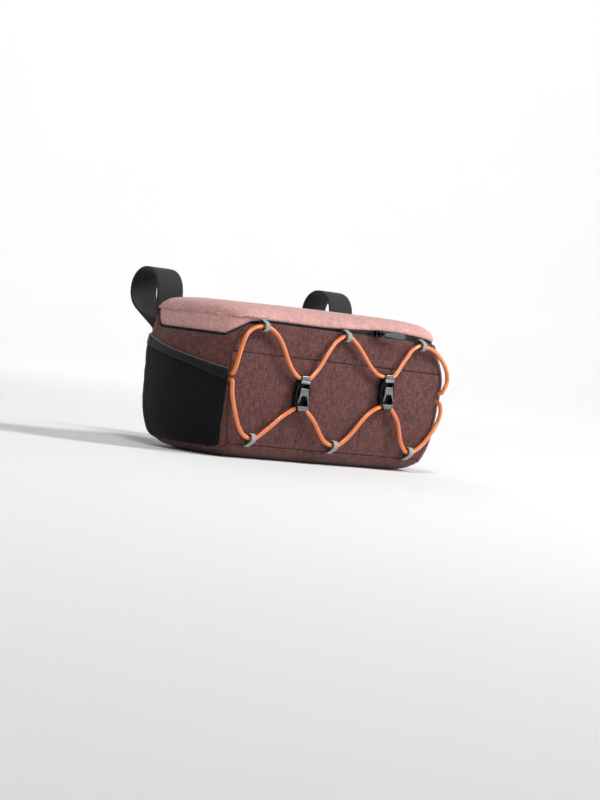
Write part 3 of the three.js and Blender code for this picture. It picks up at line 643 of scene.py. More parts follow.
def srgb(red, green, blue):
    """A colour as it looks on a screen, from 0 to 255, as the linear values that a shader takes."""
    shares = np.array([red, green, blue]) / 255
    return tuple(np.where(shares <= 0.04045, shares / 12.92, ((shares + 0.055) / 1.055) ** 2.4).tolist())


NOISE_SPAN = (0.3, 0.7)


class Finish:
    """A procedural material while its nodes are put together."""

    def __init__(self, name, **sockets):
        self.material = bpy.data.materials.new(name)
        self.material.use_nodes = True
        self.tree = self.material.node_tree
        self.tree.nodes.clear()
        named = {key.replace("_", " "): value for key, value in sockets.items()}
        self.shader = self.add("BsdfPrincipled", named)
        output = self.add("OutputMaterial")
        self.tree.links.new(self.shader.outputs["BSDF"], output.inputs["Surface"])

    def add(self, kind, sockets=None, **settings):
        made = self.tree.nodes.new(f"ShaderNode{kind}")
        for key, value in settings.items():
            setattr(made, key, value)
        for key, value in (sockets or {}).items():
            self.put(made.inputs[key], value)
        return made

    def put(self, socket, value):
        if isinstance(value, bpy.types.NodeSocket):
            self.tree.links.new(value, socket)
        else:
            socket.default_value = value

    def cut(self):
        """The cloth's own lengths, in metres."""
        return self.add("UVMap", uv_map=UV_NAME).outputs["UV"]

    def place(self):
        return self.add("TexCoord").outputs["Object"]

    def part(self, vector, axis):
        return self.add("SeparateXYZ", {"Vector": vector}).outputs[axis]

    def stretched(self, vector, scale, turn=0.0):
        mapping = self.add("Mapping", {"Vector": vector, "Scale": scale, "Rotation": (0, 0, turn)})
        return mapping.outputs["Vector"]

    def noise(self, vector, scale, detail=2, roughness=0.55):
        sockets = {"Vector": vector, "Scale": scale, "Detail": detail, "Roughness": roughness}
        return self.add("TexNoise", sockets).outputs["Fac"]

    def fibres(self, vector, scale, detail=3, roughness=0.55):
        """Noise drawn out along the yarns or the grain."""
        return self.noise(self.stretched(vector, scale), 1, detail, roughness)

    def bands(self, vector, period, direction="X", turn=0.0):
        """Ridges of the given period, in millimetres, from 0 to 1."""
        if turn:
            vector = self.stretched(vector, (1, 1, 1), turn)
        sockets = {"Vector": vector, "Scale": np.pi / 10 / (period * MM)}
        return self.add("TexWave", sockets, bands_direction=direction).outputs["Fac"]

    def weave(self, vector, across, along):
        """Dots where ridges of two periods cross."""
        return self.math("MULTIPLY", self.bands(vector, across), self.bands(vector, along, "Y"))

    def math(self, operation, first, second):
        return self.add("Math", {0: first, 1: second}, operation=operation).outputs[0]

    def mix(self, first, first_share, second, second_share):
        """Two patterns added up in the given shares."""
        scaled = [self.math("MULTIPLY", *pair) for pair in ((first, first_share), (second, second_share))]
        return self.math("ADD", *scaled)

    def spread(self, value, low, high, to_low=0.0, to_high=1.0):
        sockets = {"Value": value, "From Min": low, "From Max": high, "To Min": to_low, "To Max": to_high}
        return self.add("MapRange", sockets).outputs["Result"]

    def tones(self, value, colour, *stops):
        """A ramp of one colour, darker or lighter, through (place, share) stops."""
        ramp = self.add("ValToRGB", {"Fac": value})
        elements = ramp.color_ramp.elements
        while len(elements) < len(stops):
            elements.new(0.5)
        for element, (spot, share) in zip(elements, stops):
            element.position = spot
            element.color = (*(min(channel * share, 1.0) for channel in colour[:3]), 1)
        return ramp.outputs["Color"]

    def tint(self, colour, value, low, high):
        """The colour, darker or lighter by a share that changes over the surface."""
        share = self.spread(value, *NOISE_SPAN, low, high)
        scaled = self.add("VectorMath", {0: colour, "Scale": share}, operation="SCALE")
        return scaled.outputs["Vector"]

    def blend(self, share, first, second):
        mixed = self.add("Mix", {"Factor": share, "A": first, "B": (*second[:3], 1)}, data_type="RGBA")
        return mixed.outputs[2]

    def colour(self, value):
        self.put(self.shader.inputs["Base Color"], value)

    def rough(self, value, low, high, span=NOISE_SPAN):
        self.put(self.shader.inputs["Roughness"], self.spread(value, *span, low, high))

    def bump(self, height, distance, strength):
        made = self.add("Bump", {"Height": height, "Distance": distance * MM, "Strength": strength})
        self.put(self.shader.inputs["Normal"], made.outputs["Normal"])
        return self.material


def heather_cloth(name, colour, contrast):
    """Two-tone woven polyester: short light and dark yarns both ways, over a fine plain weave."""
    finish = Finish(name, Specular_IOR_Level=0.22, Sheen_Weight=0.12, Sheen_Roughness=0.5)
    cut = finish.cut()
    warp = finish.fibres(cut, (620, 150, 1), roughness=0.7)
    weft = finish.fibres(cut, (150, 800, 1), roughness=0.7)
    yarns = finish.mix(warp, 0.62, weft, 0.38)
    tones = finish.tones(yarns, colour, (0.38, 1 - contrast), (0.5, 1), (0.63, 1 + 1.3 * contrast))
    finish.colour(finish.tint(tones, finish.noise(cut, 38, 3), 0.92, 1.08))
    finish.rough(yarns, 0.78, 0.96)
    return finish.bump(finish.mix(finish.weave(cut, 0.85, 0.85), 1, yarns, 1.4), 0.16, 0.55)


def stretch_knit(name, colour):
    """Fine ribbed knit with small open dots."""
    finish = Finish(name, Specular_IOR_Level=0.15, Sheen_Weight=0.1, Sheen_Roughness=0.4)
    cut = finish.cut()
    fuzz = finish.fibres(cut, (900, 260, 1))
    mixed = finish.mix(finish.weave(cut, 1.1, 0.8), 0.6, fuzz, 0.6)
    finish.colour(finish.tones(mixed, colour, (0.2, 0.3), (0.55, 1), (0.9, 2.6)))
    finish.rough(fuzz, 0.72, 0.95)
    return finish.bump(mixed, 0.22, 0.6)


def ribbed_elastic(name, colour, edge):
    """Black ribbed elastic with a paler thread along its upper edge."""
    finish = Finish(name, Specular_IOR_Level=0.25, Sheen_Weight=0.2, Sheen_Roughness=0.4)
    cut = finish.cut()
    fuzz = finish.fibres(cut, (1200, 500, 1), 2)
    mixed = finish.mix(finish.bands(cut, 0.9), 0.5, fuzz, 0.6)
    cloth = finish.tones(mixed, colour, (0.2, 0.6), (0.8, 1.6))
    near = finish.spread(finish.part(cut, "Y"), 0.3 * MM, 0.7 * MM, 1, 0)
    finish.colour(finish.blend(near, cloth, edge))
    finish.rough(fuzz, 0.7, 0.92)
    return finish.bump(mixed, 0.2, 0.6)


def woven_tape(name, colour, period, contrast, inner=None, painted_shade_from=0.0):
    """Narrow webbing with fine ribs across it and fibres along it, and painted shade in a darker colour on
    its inner side if one is given.
    """
    finish = Finish(name, Specular_IOR_Level=0.3, Sheen_Weight=0.1, Sheen_Roughness=0.5)
    cut = finish.cut()
    fibre = finish.fibres(cut, (1400, 300, 1))
    mixed = finish.mix(finish.weave(cut, 1.6 * period, period), 0.5, fibre, 0.7)
    tones = finish.tones(mixed, colour, (0.2, 1 - contrast), (0.55, 1), (0.9, 1 + contrast))
    # Painted shade: from a place round the band onwards, the band's inner side is painted in the darker
    # colour
    if inner:
        turned = finish.spread(finish.part(cut, "X"), painted_shade_from * MM, (painted_shade_from + 0.2) * MM)
        tones = finish.blend(turned, tones, inner)
    finish.colour(tones)
    finish.rough(fibre, 0.65, 0.9)
    return finish.bump(mixed, 0.2, 0.7)


def braided_sheath(name, colour):
    """Braided cover of the elastic cord: yarns that cross both ways round it."""
    finish = Finish(name, Specular_IOR_Level=1.0, Coat_Weight=0.9, Coat_Roughness=0.26)
    cut = finish.cut()
    yarns = [finish.bands(cut, 1.15, turn=turn) for turn in (np.pi / 4, -np.pi / 4)]
    fibre = finish.fibres(cut, (2500, 800, 1), 2)
    mixed = finish.mix(finish.math("MAXIMUM", *yarns), 0.7, fibre, 0.4)
    finish.colour(finish.tones(mixed, colour, (0.3, 0.7), (0.65, 1), (1.0, 1.18)))
    finish.rough(fibre, 0.25, 0.36)
    return finish.bump(mixed, 0.12, 0.45)


def moulded_plastic(name, colour, shine, rough):
    finish = Finish(name, Specular_IOR_Level=shine)
    place = finish.place()
    scuffs = finish.fibres(place, (90, 90, 420), 4)
    finish.colour(finish.tones(scuffs, colour, (0.35, 0.8), (0.75, 1.5)))
    finish.rough(scuffs, *rough, span=(0.35, 0.7))
    return finish.bump(finish.noise(place, 2600), 0.02, 0.35)


def cast_metal(name, colour):
    finish = Finish(name, Metallic=1.0)
    place = finish.place()
    wear = finish.fibres(place, (400, 400, 900))
    finish.colour(finish.tones(wear, colour, (0.3, 0.75), (0.7, 1.12)))
    finish.rough(wear, 0.14, 0.28)
    return finish.bump(finish.noise(place, 3000), 0.01, 0.2)


def coated_tape(name, colour):
    """Zip tape with a smooth dark coating over fine ribs."""
    finish = Finish(name, Specular_IOR_Level=0.45)
    cut = finish.cut()
    dust = finish.noise(cut, 420, 3)
    finish.colour(finish.tones(dust, colour, (0.3, 0.75), (0.7, 1.35)))
    finish.rough(dust, 0.38, 0.6)
    return finish.bump(finish.bands(cut, 1.2), 0.06, 0.4)


def twisted_thread(name, colour):
    finish = Finish(name, Specular_IOR_Level=0.3)
    strands = finish.bands(finish.place(), 0.4, "DIAGONAL")
    finish.colour(finish.tones(strands, colour, (0.2, 0.75), (0.8, 1.15)))
    finish.rough(strands, 0.6, 0.85, span=(0, 1))
    return finish.bump(strands, 0.05, 0.5)


def studio_floor(name, colour):
    finish = Finish(name, Specular_IOR_Level=0.15)
    place = finish.place()
    finish.colour(finish.tint(colour[:3], finish.noise(place, 3), 0.985, 1.0))
    finish.rough(finish.noise(place, 40), 0.75, 0.85)
    return finish.material


@lru_cache(maxsize=None)
def finish_for(slot):
    """The material of each of the record's slots, of the clips' frames and of the threads."""
    colours = bpy.context.scene.handlebar_bag_colours
    # The tabs' inner side is painted in the strap colour as painted shade, from this place round the band
    # onwards
    tab_shade_from = 2 * TAB_HALF_WIDTH + TAB_HALF_THICK
    makers = {
        "body_cloth": (heather_cloth, "maroon_heather_cloth", colours.body, 0.55),
        "lid_cloth": (heather_cloth, "pink_heather_cloth", colours.lid, 0.2),
        "pocket_mesh": (stretch_knit, "black_stretch_knit", colours.knit),
        "pocket_elastic": (ribbed_elastic, "black_ribbed_elastic", colours.knit, colours.hem_thread),
        "webbing": (woven_tape, "grey_webbing", colours.webbing, 0.9, 0.35, colours.strap, tab_shade_from),
        "strap_cloth": (woven_tape, "black_strap_cloth", colours.strap, 1.4, 0.5),
        "cord_sheath": (braided_sheath, "orange_braided_sheath", colours.cord),
        "clip_plastic": (moulded_plastic, "black_moulded_plastic", colours.plastic, 0.5, (0.2, 0.32)),
        "clip_frame": (moulded_plastic, "dull_black_plastic", colours.plastic, 0.1, (0.4, 0.6)),
        "zip_tape": (coated_tape, "dark_coated_zip_tape", colours.tape),
        "zip_metal": (cast_metal, "dark_cast_metal", colours.metal),
        "body_thread": (twisted_thread, "maroon_thread", colours.body_thread),
        "black_thread": (twisted_thread, "black_thread", colours.black_thread),
    }
    maker, *values = makers[slot]
    return maker(*values)


# Bands and cords swept along a line

UP = np.array([0.0, 0.0, 1.0])
ROUND = 2.0


def rounded(angles, half_wide, half_tall, square):
    """Points of a section that is an ellipse when round, and nearer to a rectangle when more square."""
    across, up = np.cos(angles), np.sin(angles)
    power = 2 / square
    return (half_wide * np.sign(across) * np.abs(across) ** power,
            half_tall * np.sign(up) * np.abs(up) ** power)


def swept(name, points, wide, half_wide, half_thick, sides, square=ROUND):
    """A closed band or cord: a section carried along a line, with wide as the section's first axis."""
    lengths = along_line(points)
    ahead = unit(np.gradient(points, lengths, axis=0))
    wide = unit(wide - ahead * np.sum(wide * ahead, axis=1, keepdims=True))
    thick = np.cross(ahead, wide)
    across, through = rounded(np.linspace(0, 2 * np.pi, sides + 1), half_wide, half_thick, square)
    section = along_line(np.stack([across, through], -1))

    def place(row, side):
        offset = wide[row] * across[side][:, None] + thick[row] * through[side][:, None]
        return points[row] + offset, np.stack([section[side], lengths[row]], -1)

    mesh = grid_mesh(name, np.arange(len(points)), np.arange(sides + 1), place)
    close_mesh(mesh)
    return mesh


def carried(points):
    """A direction square to the line, taken along it without a twist."""
    ahead = unit(np.gradient(points, along_line(points), axis=0))
    wide = np.empty_like(points)
    last = UP
    for index, heading in enumerate(ahead):
        last = unit(last - heading * np.dot(last, heading))
        wide[index] = last
    return wide


def even_line(points, step):
    """The same line with points at even distances."""
    lengths = along_line(points)
    count = max(int(round(lengths[-1] / step)), 2)
    spots = np.linspace(0, lengths[-1], count + 1)
    return np.stack([np.interp(spots, lengths, points[:, axis]) for axis in range(3)], -1)


CURVE_POINTS = 16
LEAST_GAP = 0.001


def smooth_line(points, step):
    """A curve through the points that doesn't overshoot where they lie close together, at even steps."""
    knots = np.vstack([2 * points[0] - points[1], points, 2 * points[-1] - points[-2]])
    gaps = np.maximum(np.linalg.norm(np.diff(knots, axis=0), axis=1), LEAST_GAP) ** 0.5
    share = np.linspace(0, 1, CURVE_POINTS, endpoint=False)[:, None]
    curve = []
    for index in range(1, len(knots) - 2):
        p0, p1, p2, p3 = knots[index - 1:index + 3]
        d0, d1, d2 = gaps[index - 1:index + 2]
        start = ((p1 - p0) / d0 - (p2 - p0) / (d0 + d1) + (p2 - p1) / d1) * d1
        stop = ((p2 - p1) / d1 - (p3 - p1) / (d1 + d2) + (p3 - p2) / d2) * d1
        cubic = (2 * p1 - 2 * p2 + start + stop) * share ** 3
        square = (3 * p2 - 3 * p1 - 2 * start - stop) * share ** 2
        curve.append(cubic + square + start * share + p1)
    return even_line(np.vstack([*curve, points[-1:]]), step)


def cord_line(route):
    points = []
    for index, stop in enumerate(route):
        if not stop.held:
            points.append(front_place(stop.x, stop.z, stop.lift)[0])
            continue
        half, ease = HELD[stop.held]
        turn = np.sign(route[index - 1].z + route[index + 1].z - 2 * stop.z)
        for along in (-half, 0, half):
            z = stop.z + turn * ease * abs(along / half)
            points.append(front_place(stop.x + along, z, stop.lift)[0])
    return smooth_line(np.array(points), CORD_STEP)


def arc(centre, radius, angles):
    return centre + radius * np.stack([np.cos(angles), np.sin(angles)], -1)


FOLD_POINTS = 60
END_POINTS = 6
END_GAP = 0.1


def belt(centre, radius, end, end_radius, first=(), last=()):
    """The line of a band that is folded round one circle and ends at both sides of another, smaller one."""
    centre, end = np.array(centre, float), np.array(end, float)
    towards = end - centre
    heading = np.arctan2(towards[1], towards[0])
    spread = np.arccos((radius - end_radius) / np.linalg.norm(towards))
    fold = arc(centre, radius, heading + np.linspace(spread, 2 * np.pi - spread, FOLD_POINTS))
    near = arc(end, end_radius, heading + np.linspace(END_GAP, spread, END_POINTS))
    far = arc(end, end_radius, heading + 2 * np.pi - np.linspace(spread, END_GAP, END_POINTS))
    return np.vstack([*first, near if not first else near[-1:], fold, far if not last else far[:1], *last])


def relaxed(points, passes):
    """The line with its kinks eased."""
    for _ in range(passes):
        points[1:-1] = 0.5 * points[1:-1] + 0.25 * (points[:-2] + points[2:])
    return points


# Moulded and sewn details

Block = namedtuple("Block", "low high low_x high_x low_y high_y")


def other_side(block):
    """The mirror image of a block across the clip's middle."""
    (a, b), (c, d) = block.low_x, block.high_x
    return block._replace(low_x=(-b, -a), high_x=(-d, -c))


# Clip, in millimetres from its middle: side frames and the web behind them, then the plates in front
CLIP_SIDES = [
    Block(-9.6, -4.4, (-6.4, -4.8), (-7.6, -6.0), (-0.8, 2.5), (-1.4, 2.5)),
    Block(-4.6, 8.8, (-7.6, -6.0), (-5.8, -4.4), (-1.4, 2.5), (-1.4, 2.5)),
]
CLIP_WEB = Block(-9.6, 8.8, (-5.4, 5.4), (-4.4, 4.4), (1.5, 2.5), (1.5, 2.5))
CLIP_FRAME = [*CLIP_SIDES, *map(other_side, CLIP_SIDES), CLIP_WEB]
CLIP_LEG = Block(-7.4, -1.4, (-6.1, -4.6), (-4.5, -2.2), (-3.2, -1.6), (-3.1, -1.6))
CLIP_PLATES = [
    Block(-1.6, 3.4, (-3.2, 3.2), (-3.2, 3.2), (-2.4, 1.8), (-2.4, 1.8)),
    Block(-1.6, 4.2, (-4.5, 4.5), (-3.9, 3.9), (-3.1, -1.6), (-2.9, -1.6)),
    CLIP_LEG,
    other_side(CLIP_LEG),
    Block(7.8, 9.6, (-5.0, 5.0), (-4.7, 4.7), (-3.2, -1.6), (-3.0, -1.6)),
    Block(9.4, 13.0, (-4.7, 4.7), (-3.8, 3.8), (-3.0, -1.6), (-2.7, -1.6)),
    Block(-13.0, -9.4, (-4.1, 4.1), (-5.7, 5.7), (-3.2, -1.6), (-3.1, -1.6)),
]

# Barrels that hold the cord at the clip's upper and lower end, with their half widths
Barrel = namedtuple("Barrel", "end narrow wide")
BARRELS = [Barrel(1, 3.6, 4.9), Barrel(-1, 3.9, 5.4)]
BARREL_HALF_DEEP = 2.9
BARREL_HALF_TALL = 2.5
BARREL_SQUARE = 5.0
BARREL_SIDES = 28
CORD_HOLE = 2.0


def moulded(blocks, bevel):
    """A bmesh of tapered blocks with rounded edges, each from a low to a high rectangle."""
    bm = bmesh.new()
    for block in blocks:
        made = bmesh.ops.create_cube(bm, size=1.0)["verts"]
        for vert in made:
            x_pair, y_pair = (block.high_x, block.high_y) if vert.co.z > 0 else (block.low_x, block.low_y)
            z = block.high if vert.co.z > 0 else block.low
            vert.co = Vector((x_pair[int(vert.co.x > 0)], y_pair[int(vert.co.y > 0)], z))
        edges = {edge for vert in made for edge in vert.link_edges}
        bmesh.ops.bevel(bm, geom=list(edges), offset=bevel, segments=2, profile=0.5, affect="EDGES",
                        material=-1)
    return bm


def barrel(bm, shape):
    """A faceted tube round the cord, wide on the side of the clip's middle and narrower past the cord."""
    sections = [(BARREL_HALF_DEEP, BARREL_HALF_TALL, BARREL_SQUARE), (CORD_HOLE, CORD_HOLE, ROUND)]
    loops = []
    for section in sections:
        for side in (-1, 1):
            ring = bmesh.ops.create_circle(bm, segments=BARREL_SIDES, radius=1.0)["verts"]
            for vert in ring:
                y, z = rounded(np.arctan2(vert.co.y, vert.co.x), *section)
                share = 0.5 + 0.5 * shape.end * z / BARREL_HALF_TALL
                x = side * (shape.wide + (shape.narrow - shape.wide) * share)
                vert.co = Vector((x, y, shape.end * CLIP_HALF + z))
            loops.append({edge for vert in ring for edge in vert.link_edges})
    outer_left, outer_right, inner_left, inner_right = loops
    for first, second in ((outer_left, outer_right), (inner_left, inner_right),
                          (outer_left, inner_left), (outer_right, inner_right)):
        bmesh.ops.bridge_loops(bm, edges=list(first | second))


def mesh_from(bm, name, matrix=None):
    if matrix is not None:
        bmesh.ops.transform(bm, matrix=matrix, verts=bm.verts)
    bmesh.ops.recalc_face_normals(bm, faces=bm.faces)
    return to_mesh(bm, name)


# Half width and half height of a stitch
STITCH_SIZE = (0.26, 0.2)


def read_line(points, lengths, spot):
    return np.array([np.interp(spot, lengths, points[:, axis]) for axis in range(3)])


def sew(bm, points, out, length=2.2, gap=1.1):
    """A row of raised stitches along a line."""
    lengths = along_line(points)
    count = int((lengths[-1] - length) / (length + gap))
    for index in range(count + 1):
        spot = length / 2 + index * (length + gap)
        start, stop = (read_line(points, lengths, spot + half) for half in (-length / 2, length / 2))
        ahead = unit(stop - start)
        up = read_line(out, lengths, spot)
        up = unit(up - ahead * np.dot(up, ahead))
        axes = Matrix([ahead * length / 2, np.cross(up, ahead) * STITCH_SIZE[0], up * STITCH_SIZE[1]])
        turn = axes.transposed().to_4x4()
        turn.translation = Vector(0.5 * (start + stop))
        bmesh.ops.create_icosphere(bm, subdivisions=1, radius=1.0, matrix=Matrix.Scale(MM, 4) @ turn)


def rounded_copy(node, name, width):
    """A copy of a hard solid of the frame with its edges eased."""
    merge, flat_angle, sharp_angle = 0.002, 0.02, 0.6
    bm = bmesh.new()
    bm.from_mesh(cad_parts[node].data)
    bmesh.ops.remove_doubles(bm, verts=bm.verts, dist=merge * MM)
    bmesh.ops.dissolve_limit(bm, angle_limit=flat_angle, verts=bm.verts, edges=bm.edges)
    inner = [edge for edge in bm.edges if len(edge.link_faces) == 2]
    sharp = [edge for edge in inner if edge.calc_face_angle() > sharp_angle]
    bmesh.ops.bevel(bm, geom=sharp, offset=width * MM, offset_type="OFFSET", segments=2, profile=0.5,
                    affect="EDGES", clamp_overlap=True, material=-1)
    return to_mesh(bm, name)


# Properties

def colour_property(name, description, default):
    return bpy.props.FloatVectorProperty(
        name=name, description=description, default=default, subtype="COLOR", min=0, max=1)


def length_property(name, description, default):
    return bpy.props.FloatProperty(name=name, description=description, default=default * MM, unit="LENGTH")


class BagColours(bpy.types.PropertyGroup):
    """Colours of the cloths, cord, webbing and hard pieces"""
    body: colour_property("Body cloth", "Middle tone of the body's heather cloth", srgb(93, 57, 55))
    lid: colour_property("Lid cloth", "Middle tone of the lid's heather cloth", srgb(202, 154, 149))
    knit: colour_property("Knit", "Middle tone of the stretch pockets", srgb(16, 16, 17))
    hem_thread: colour_property("Hem thread", "Pale thread along the pocket mouth", srgb(110, 110, 110))
    webbing: colour_property("Webbing", "Middle tone of the cord's tabs", srgb(162, 162, 164))
    # The straps' own colour, also painted on the tabs' inner side as painted shade
    strap: colour_property("Straps", "Middle tone of the bar straps", srgb(36, 36, 38))
    cord: colour_property("Cord", "Middle tone of the braided sheath", srgb(228, 112, 12))
    plastic: colour_property("Clips", "Moulded plastic of the clips", srgb(20, 20, 21))
    tape: colour_property("Zip tape", "Coating of the zip tape", srgb(40, 43, 42))
    metal: colour_property("Zip metal", "Slider and pull", srgb(44, 45, 47))
    body_thread: colour_property("Body thread", "Stitching of the body", srgb(132, 88, 85))
    black_thread: colour_property("Black thread", "Stitching of pockets, tabs and straps", srgb(58, 58, 60))
    floor: colour_property("Floor", "The pale floor", srgb(235, 235, 235))


class BagSizes(bpy.types.PropertyGroup):
    """Sizes of what is sewn"""
    cloth: length_property("Cloth", "Thickness of the padded cloth's outer layer", 1.0)
    knit: length_property("Knit", "Thickness of the pocket knit", 0.7)
    grid: length_property("Grid", "Distance between the points of a panel", 1.6)


# Operators

class BAG_OT_stage(bpy.types.Operator):
    """Set up the camera, the pale floor and the soft studio light"""
    bl_idname = "bag.stage"
    bl_label = "Stage"

    lens = 112.5
    sensor = 36
    clip = (0.05, 60)
    distance = 1976
    azimuth = -41.0
    elevation = 1.456
    roll = 7.138
    middle = (0, 0, 60)
    aim_right = 7.2
    aim_up = -13.9
    floor_flat = 3.2
    floor_turn = 1.2
    floor_wall = 2.0
    floor_angles = np.linspace(0.15, np.pi / 2, 10)
    floor_steps = 64
    sky_strength = 0.07

    def execute(self, context):
        self.camera(context)
        self.floor(context)
        self.light(context)
        return {"FINISHED"}

    def camera(self, context):
        azimuth, elevation, roll = np.radians([self.azimuth, self.elevation, self.roll])
        level = Vector((np.cos(azimuth), np.sin(azimuth), 0))
        ahead = Vector((np.sin(azimuth), -np.cos(azimuth), 0))
        back = ahead * np.cos(elevation) + Vector((0, 0, np.sin(elevation)))
        right = level * np.cos(roll) + back.cross(level) * np.sin(roll)
        up = back.cross(right)
        aim = Vector(self.middle) + right * self.aim_right + up * self.aim_up
        data = bpy.data.cameras.new("photo_camera")
        data.lens = self.lens
        data.sensor_width = self.sensor
        data.clip_start, data.clip_end = self.clip
        camera = bpy.data.objects.new("photo_camera", data)
        axes = Matrix((right, up, back)).transposed().to_4x4()
        axes.translation = (aim + back * self.distance) * MM
        camera.matrix_world = axes
        context.scene.collection.objects.link(camera)
        context.scene.camera = camera

    def floor(self, context):
        """A flat disc whose far rim curves up, so that no line shows behind the bag."""
        far, turn = self.floor_flat, self.floor_turn
        bend = [(far + turn * np.sin(angle), turn * (1 - np.cos(angle))) for angle in self.floor_angles]
        profile = [(0.0, 0.0), (far, 0.0), *bend, (far + turn, turn + self.floor_wall)]
        bm = bmesh.new()
        verts = [bm.verts.new((x, 0, z)) for x, z in profile]
        edges = [bm.edges.new(pair) for pair in zip(verts, verts[1:])]
        bmesh.ops.spin(bm, geom=verts + edges, cent=(0, 0, 0), axis=(0, 0, 1), angle=2 * np.pi,
                       steps=self.floor_steps, use_merge=True)
        bmesh.ops.remove_doubles(bm, verts=bm.verts, dist=MERGE * MM)
        bmesh.ops.recalc_face_normals(bm, faces=bm.faces)
        if sum(face.normal.z for face in bm.faces) < 0:
            bmesh.ops.reverse_faces(bm, faces=bm.faces)
        mesh = to_mesh(bm, "studio_floor")
        mesh.shade_smooth()
        mesh.materials.append(studio_floor("pale_floor", context.scene.handlebar_bag_colours.floor))
        floor = bpy.data.objects.new("studio_floor", mesh)
        context.scene.collection.objects.link(floor)

    def light(self, context):
        """Soft boxes, each with its place, aim and size in metres and its power in watts."""
        bag = (0, 0, 0.06)
        boxes = [
            ("key_softbox", (1.35, -1.0, 1.4), bag, (0.35, 0.5), 36),
            ("front_card", (1.14, -1.32, 0.28), (0, 0, 0.2), (0.42, 0.5), 5.5),
            ("top_softbox", (-0.5, -0.75, 1.75), bag, (0.32, 0.3), 11),
            ("left_fill", (-1.9, -1.0, 0.9), bag, (1.2, 1.2), 1),
            ("back_light", (0.4, 1.7, 1.3), bag, (1.4, 1.0), 5),
            ("backdrop_wash", (1.4, 1.6, 2.6), (3.0, 3.4, 0.4), (3.0, 1.0), 74),
            ("floor_wash", (-1.1, -1.4, 2.6), (-0.9, -1.2, 0), (2.0, 2.0), 14),
        ]
        for name, place, aim, size, power in boxes:
            data = bpy.data.lights.new(name, "AREA")
            data.shape = "RECTANGLE"
            data.size, data.size_y = size
            data.energy = power
            lamp = bpy.data.objects.new(name, data)
            lamp.location = place
            lamp.rotation_euler = (Vector(aim) - Vector(place)).to_track_quat("-Z", "Y").to_euler()
            context.scene.collection.objects.link(lamp)
        world = bpy.data.worlds.new("white_studio")
        world.use_nodes = True
        sky = world.node_tree.nodes["Background"]
        sky.inputs["Color"].default_value = (1, 1, 1, 1)
        sky.inputs["Strength"].default_value = self.sky_strength
        context.scene.world = world
        context.scene.view_settings.view_transform = "Standard"
        context.scene.view_settings.look = "None"


class BAG_OT_cords(bpy.types.Operator):
    """Lace the two runs of elastic cord over the front"""
    bl_idname = "bag.cords"
    bl_label = "Laced cord"

    sides = 20

    def execute(self, context):
        for run, route in (("upper", CORD_UPPER), ("lower", CORD_LOWER)):
            name = f"cord_{run}"
            line = cord_line(route)
            mesh = swept(name, line, carried(line), CORD_RADIUS, CORD_RADIUS, self.sides)
            show(name, mesh, "cord_sheath", [f"bungee_{run}"])
        return {"FINISHED"}


class BAG_OT_panels(bpy.types.Operator):
    """Sew the padded panels of the front, the ends and the back"""
    bl_idname = "bag.panels"
    bl_label = "Body panels"

    def execute(self, context):
        step = context.scene.handlebar_bag_sizes.grid / MM
        for node in ("front_panel", "front_yoke", "end_panel_left", "end_panel_right", "back_panel"):
            name = f"{node}_cloth"
            show_padded(name, wall(node).mesh(name, step, step), "body_cloth", node)
        return {"FINISHED"}


# Rims of the lid and the tray: radius of the turn, then height, reach, seed and pace of the gathers
Rim = namedtuple("Rim", "radius gather reach seed pace")
LID_SEAM = Rim(1.5, 0.2, 6, 0.4, 1.0)
TRAY_SEAM = Rim(1.5, 0.4, 7, 1.9, 0.6)
MIDDLE_RUN = 30
PLAIN_FROM = 0.02
TINY = 1e-9


def inward_share(distance, total):
    """How far past the wall of the lid or tray, towards the middle, a distance from its seam reaches."""
    return np.clip((distance - total) / MIDDLE_RUN, 0, 1)


def dished(points, out, around, distance, rim, inward, spread):
    """Points with their seam turned in and gathered, and the cloth's own lengths, spread by the wall."""
    gathers = pucker(rim.pace * rim_arc(around), distance, rim.seed, rim.gather, rim.reach)
    move = (gathers - turn_in(distance, rim.radius)) * (inward < PLAIN_FROM)
    cut = points[:, :2] + unit(out[:, :2] + TINY) * (spread * (1 - inward))[:, None]
    return points + out * move[:, None], cut


class BAG_OT_lid(bpy.types.Operator):
    """Sew the domed lid"""
    bl_idname = "bag.lid"
    bl_label = "Lid"

    samples = 400
    rows = 46
    crown_rows = 22
    eased_above = 115.5
    eased_times = 30

    def execute(self, context):
        heights, lengths = front_profile(LID_EDGE, CROWN, self.samples)
        whole, reach = front_profile(UPPER_SEAM, CROWN, self.samples)
        total = lengths[-1]
        climbs = np.concatenate([
            EDGE_STEPS[:-1], np.linspace(EDGE_STEPS[-1], total, self.rows),
            total + MIDDLE_RUN * np.linspace(0, 1, self.crown_rows + 1)[1:],
        ])

        def place(around, climb):
            rim = lid_rim(around)
            wanted = np.interp(np.clip(climb, 0, total), lengths, heights)
            height = rim + (wanted - LID_EDGE) * (CROWN - rim) / (CROWN - LID_EDGE)
            points, out = skin_frame(around, height)
            inward = inward_share(climb, total)
            points = points + (np.array([0, 0, LID_TOP]) - points) * inward[:, None]
            drop = np.interp(height, whole, reach[-1] - reach)
            spread = drop - section_at(height)[:, FRONT] + SECTIONS[CROWN].front
            return dished(points, out, around, climb, LID_SEAM, inward, spread)

        places = even_places(context.scene.handlebar_bag_sizes.grid / MM)
        mesh = grid_mesh("lid_cloth", places, climbs, place)
        close_mesh(mesh, fill=False)
        self.ease_crown(mesh)
        show_padded("lid_cloth", mesh, "lid_cloth", "lid")
        return {"FINISHED"}

    def ease_crown(self, mesh):
        bm = bmesh.new()
        bm.from_mesh(mesh)
        top = [vert for vert in bm.verts if vert.co.z > self.eased_above * MM]
        for _ in range(self.eased_times):
            bmesh.ops.smooth_vert(bm, verts=top, factor=0.5, use_axis_z=True)
        bm.to_mesh(mesh)
        bm.free()


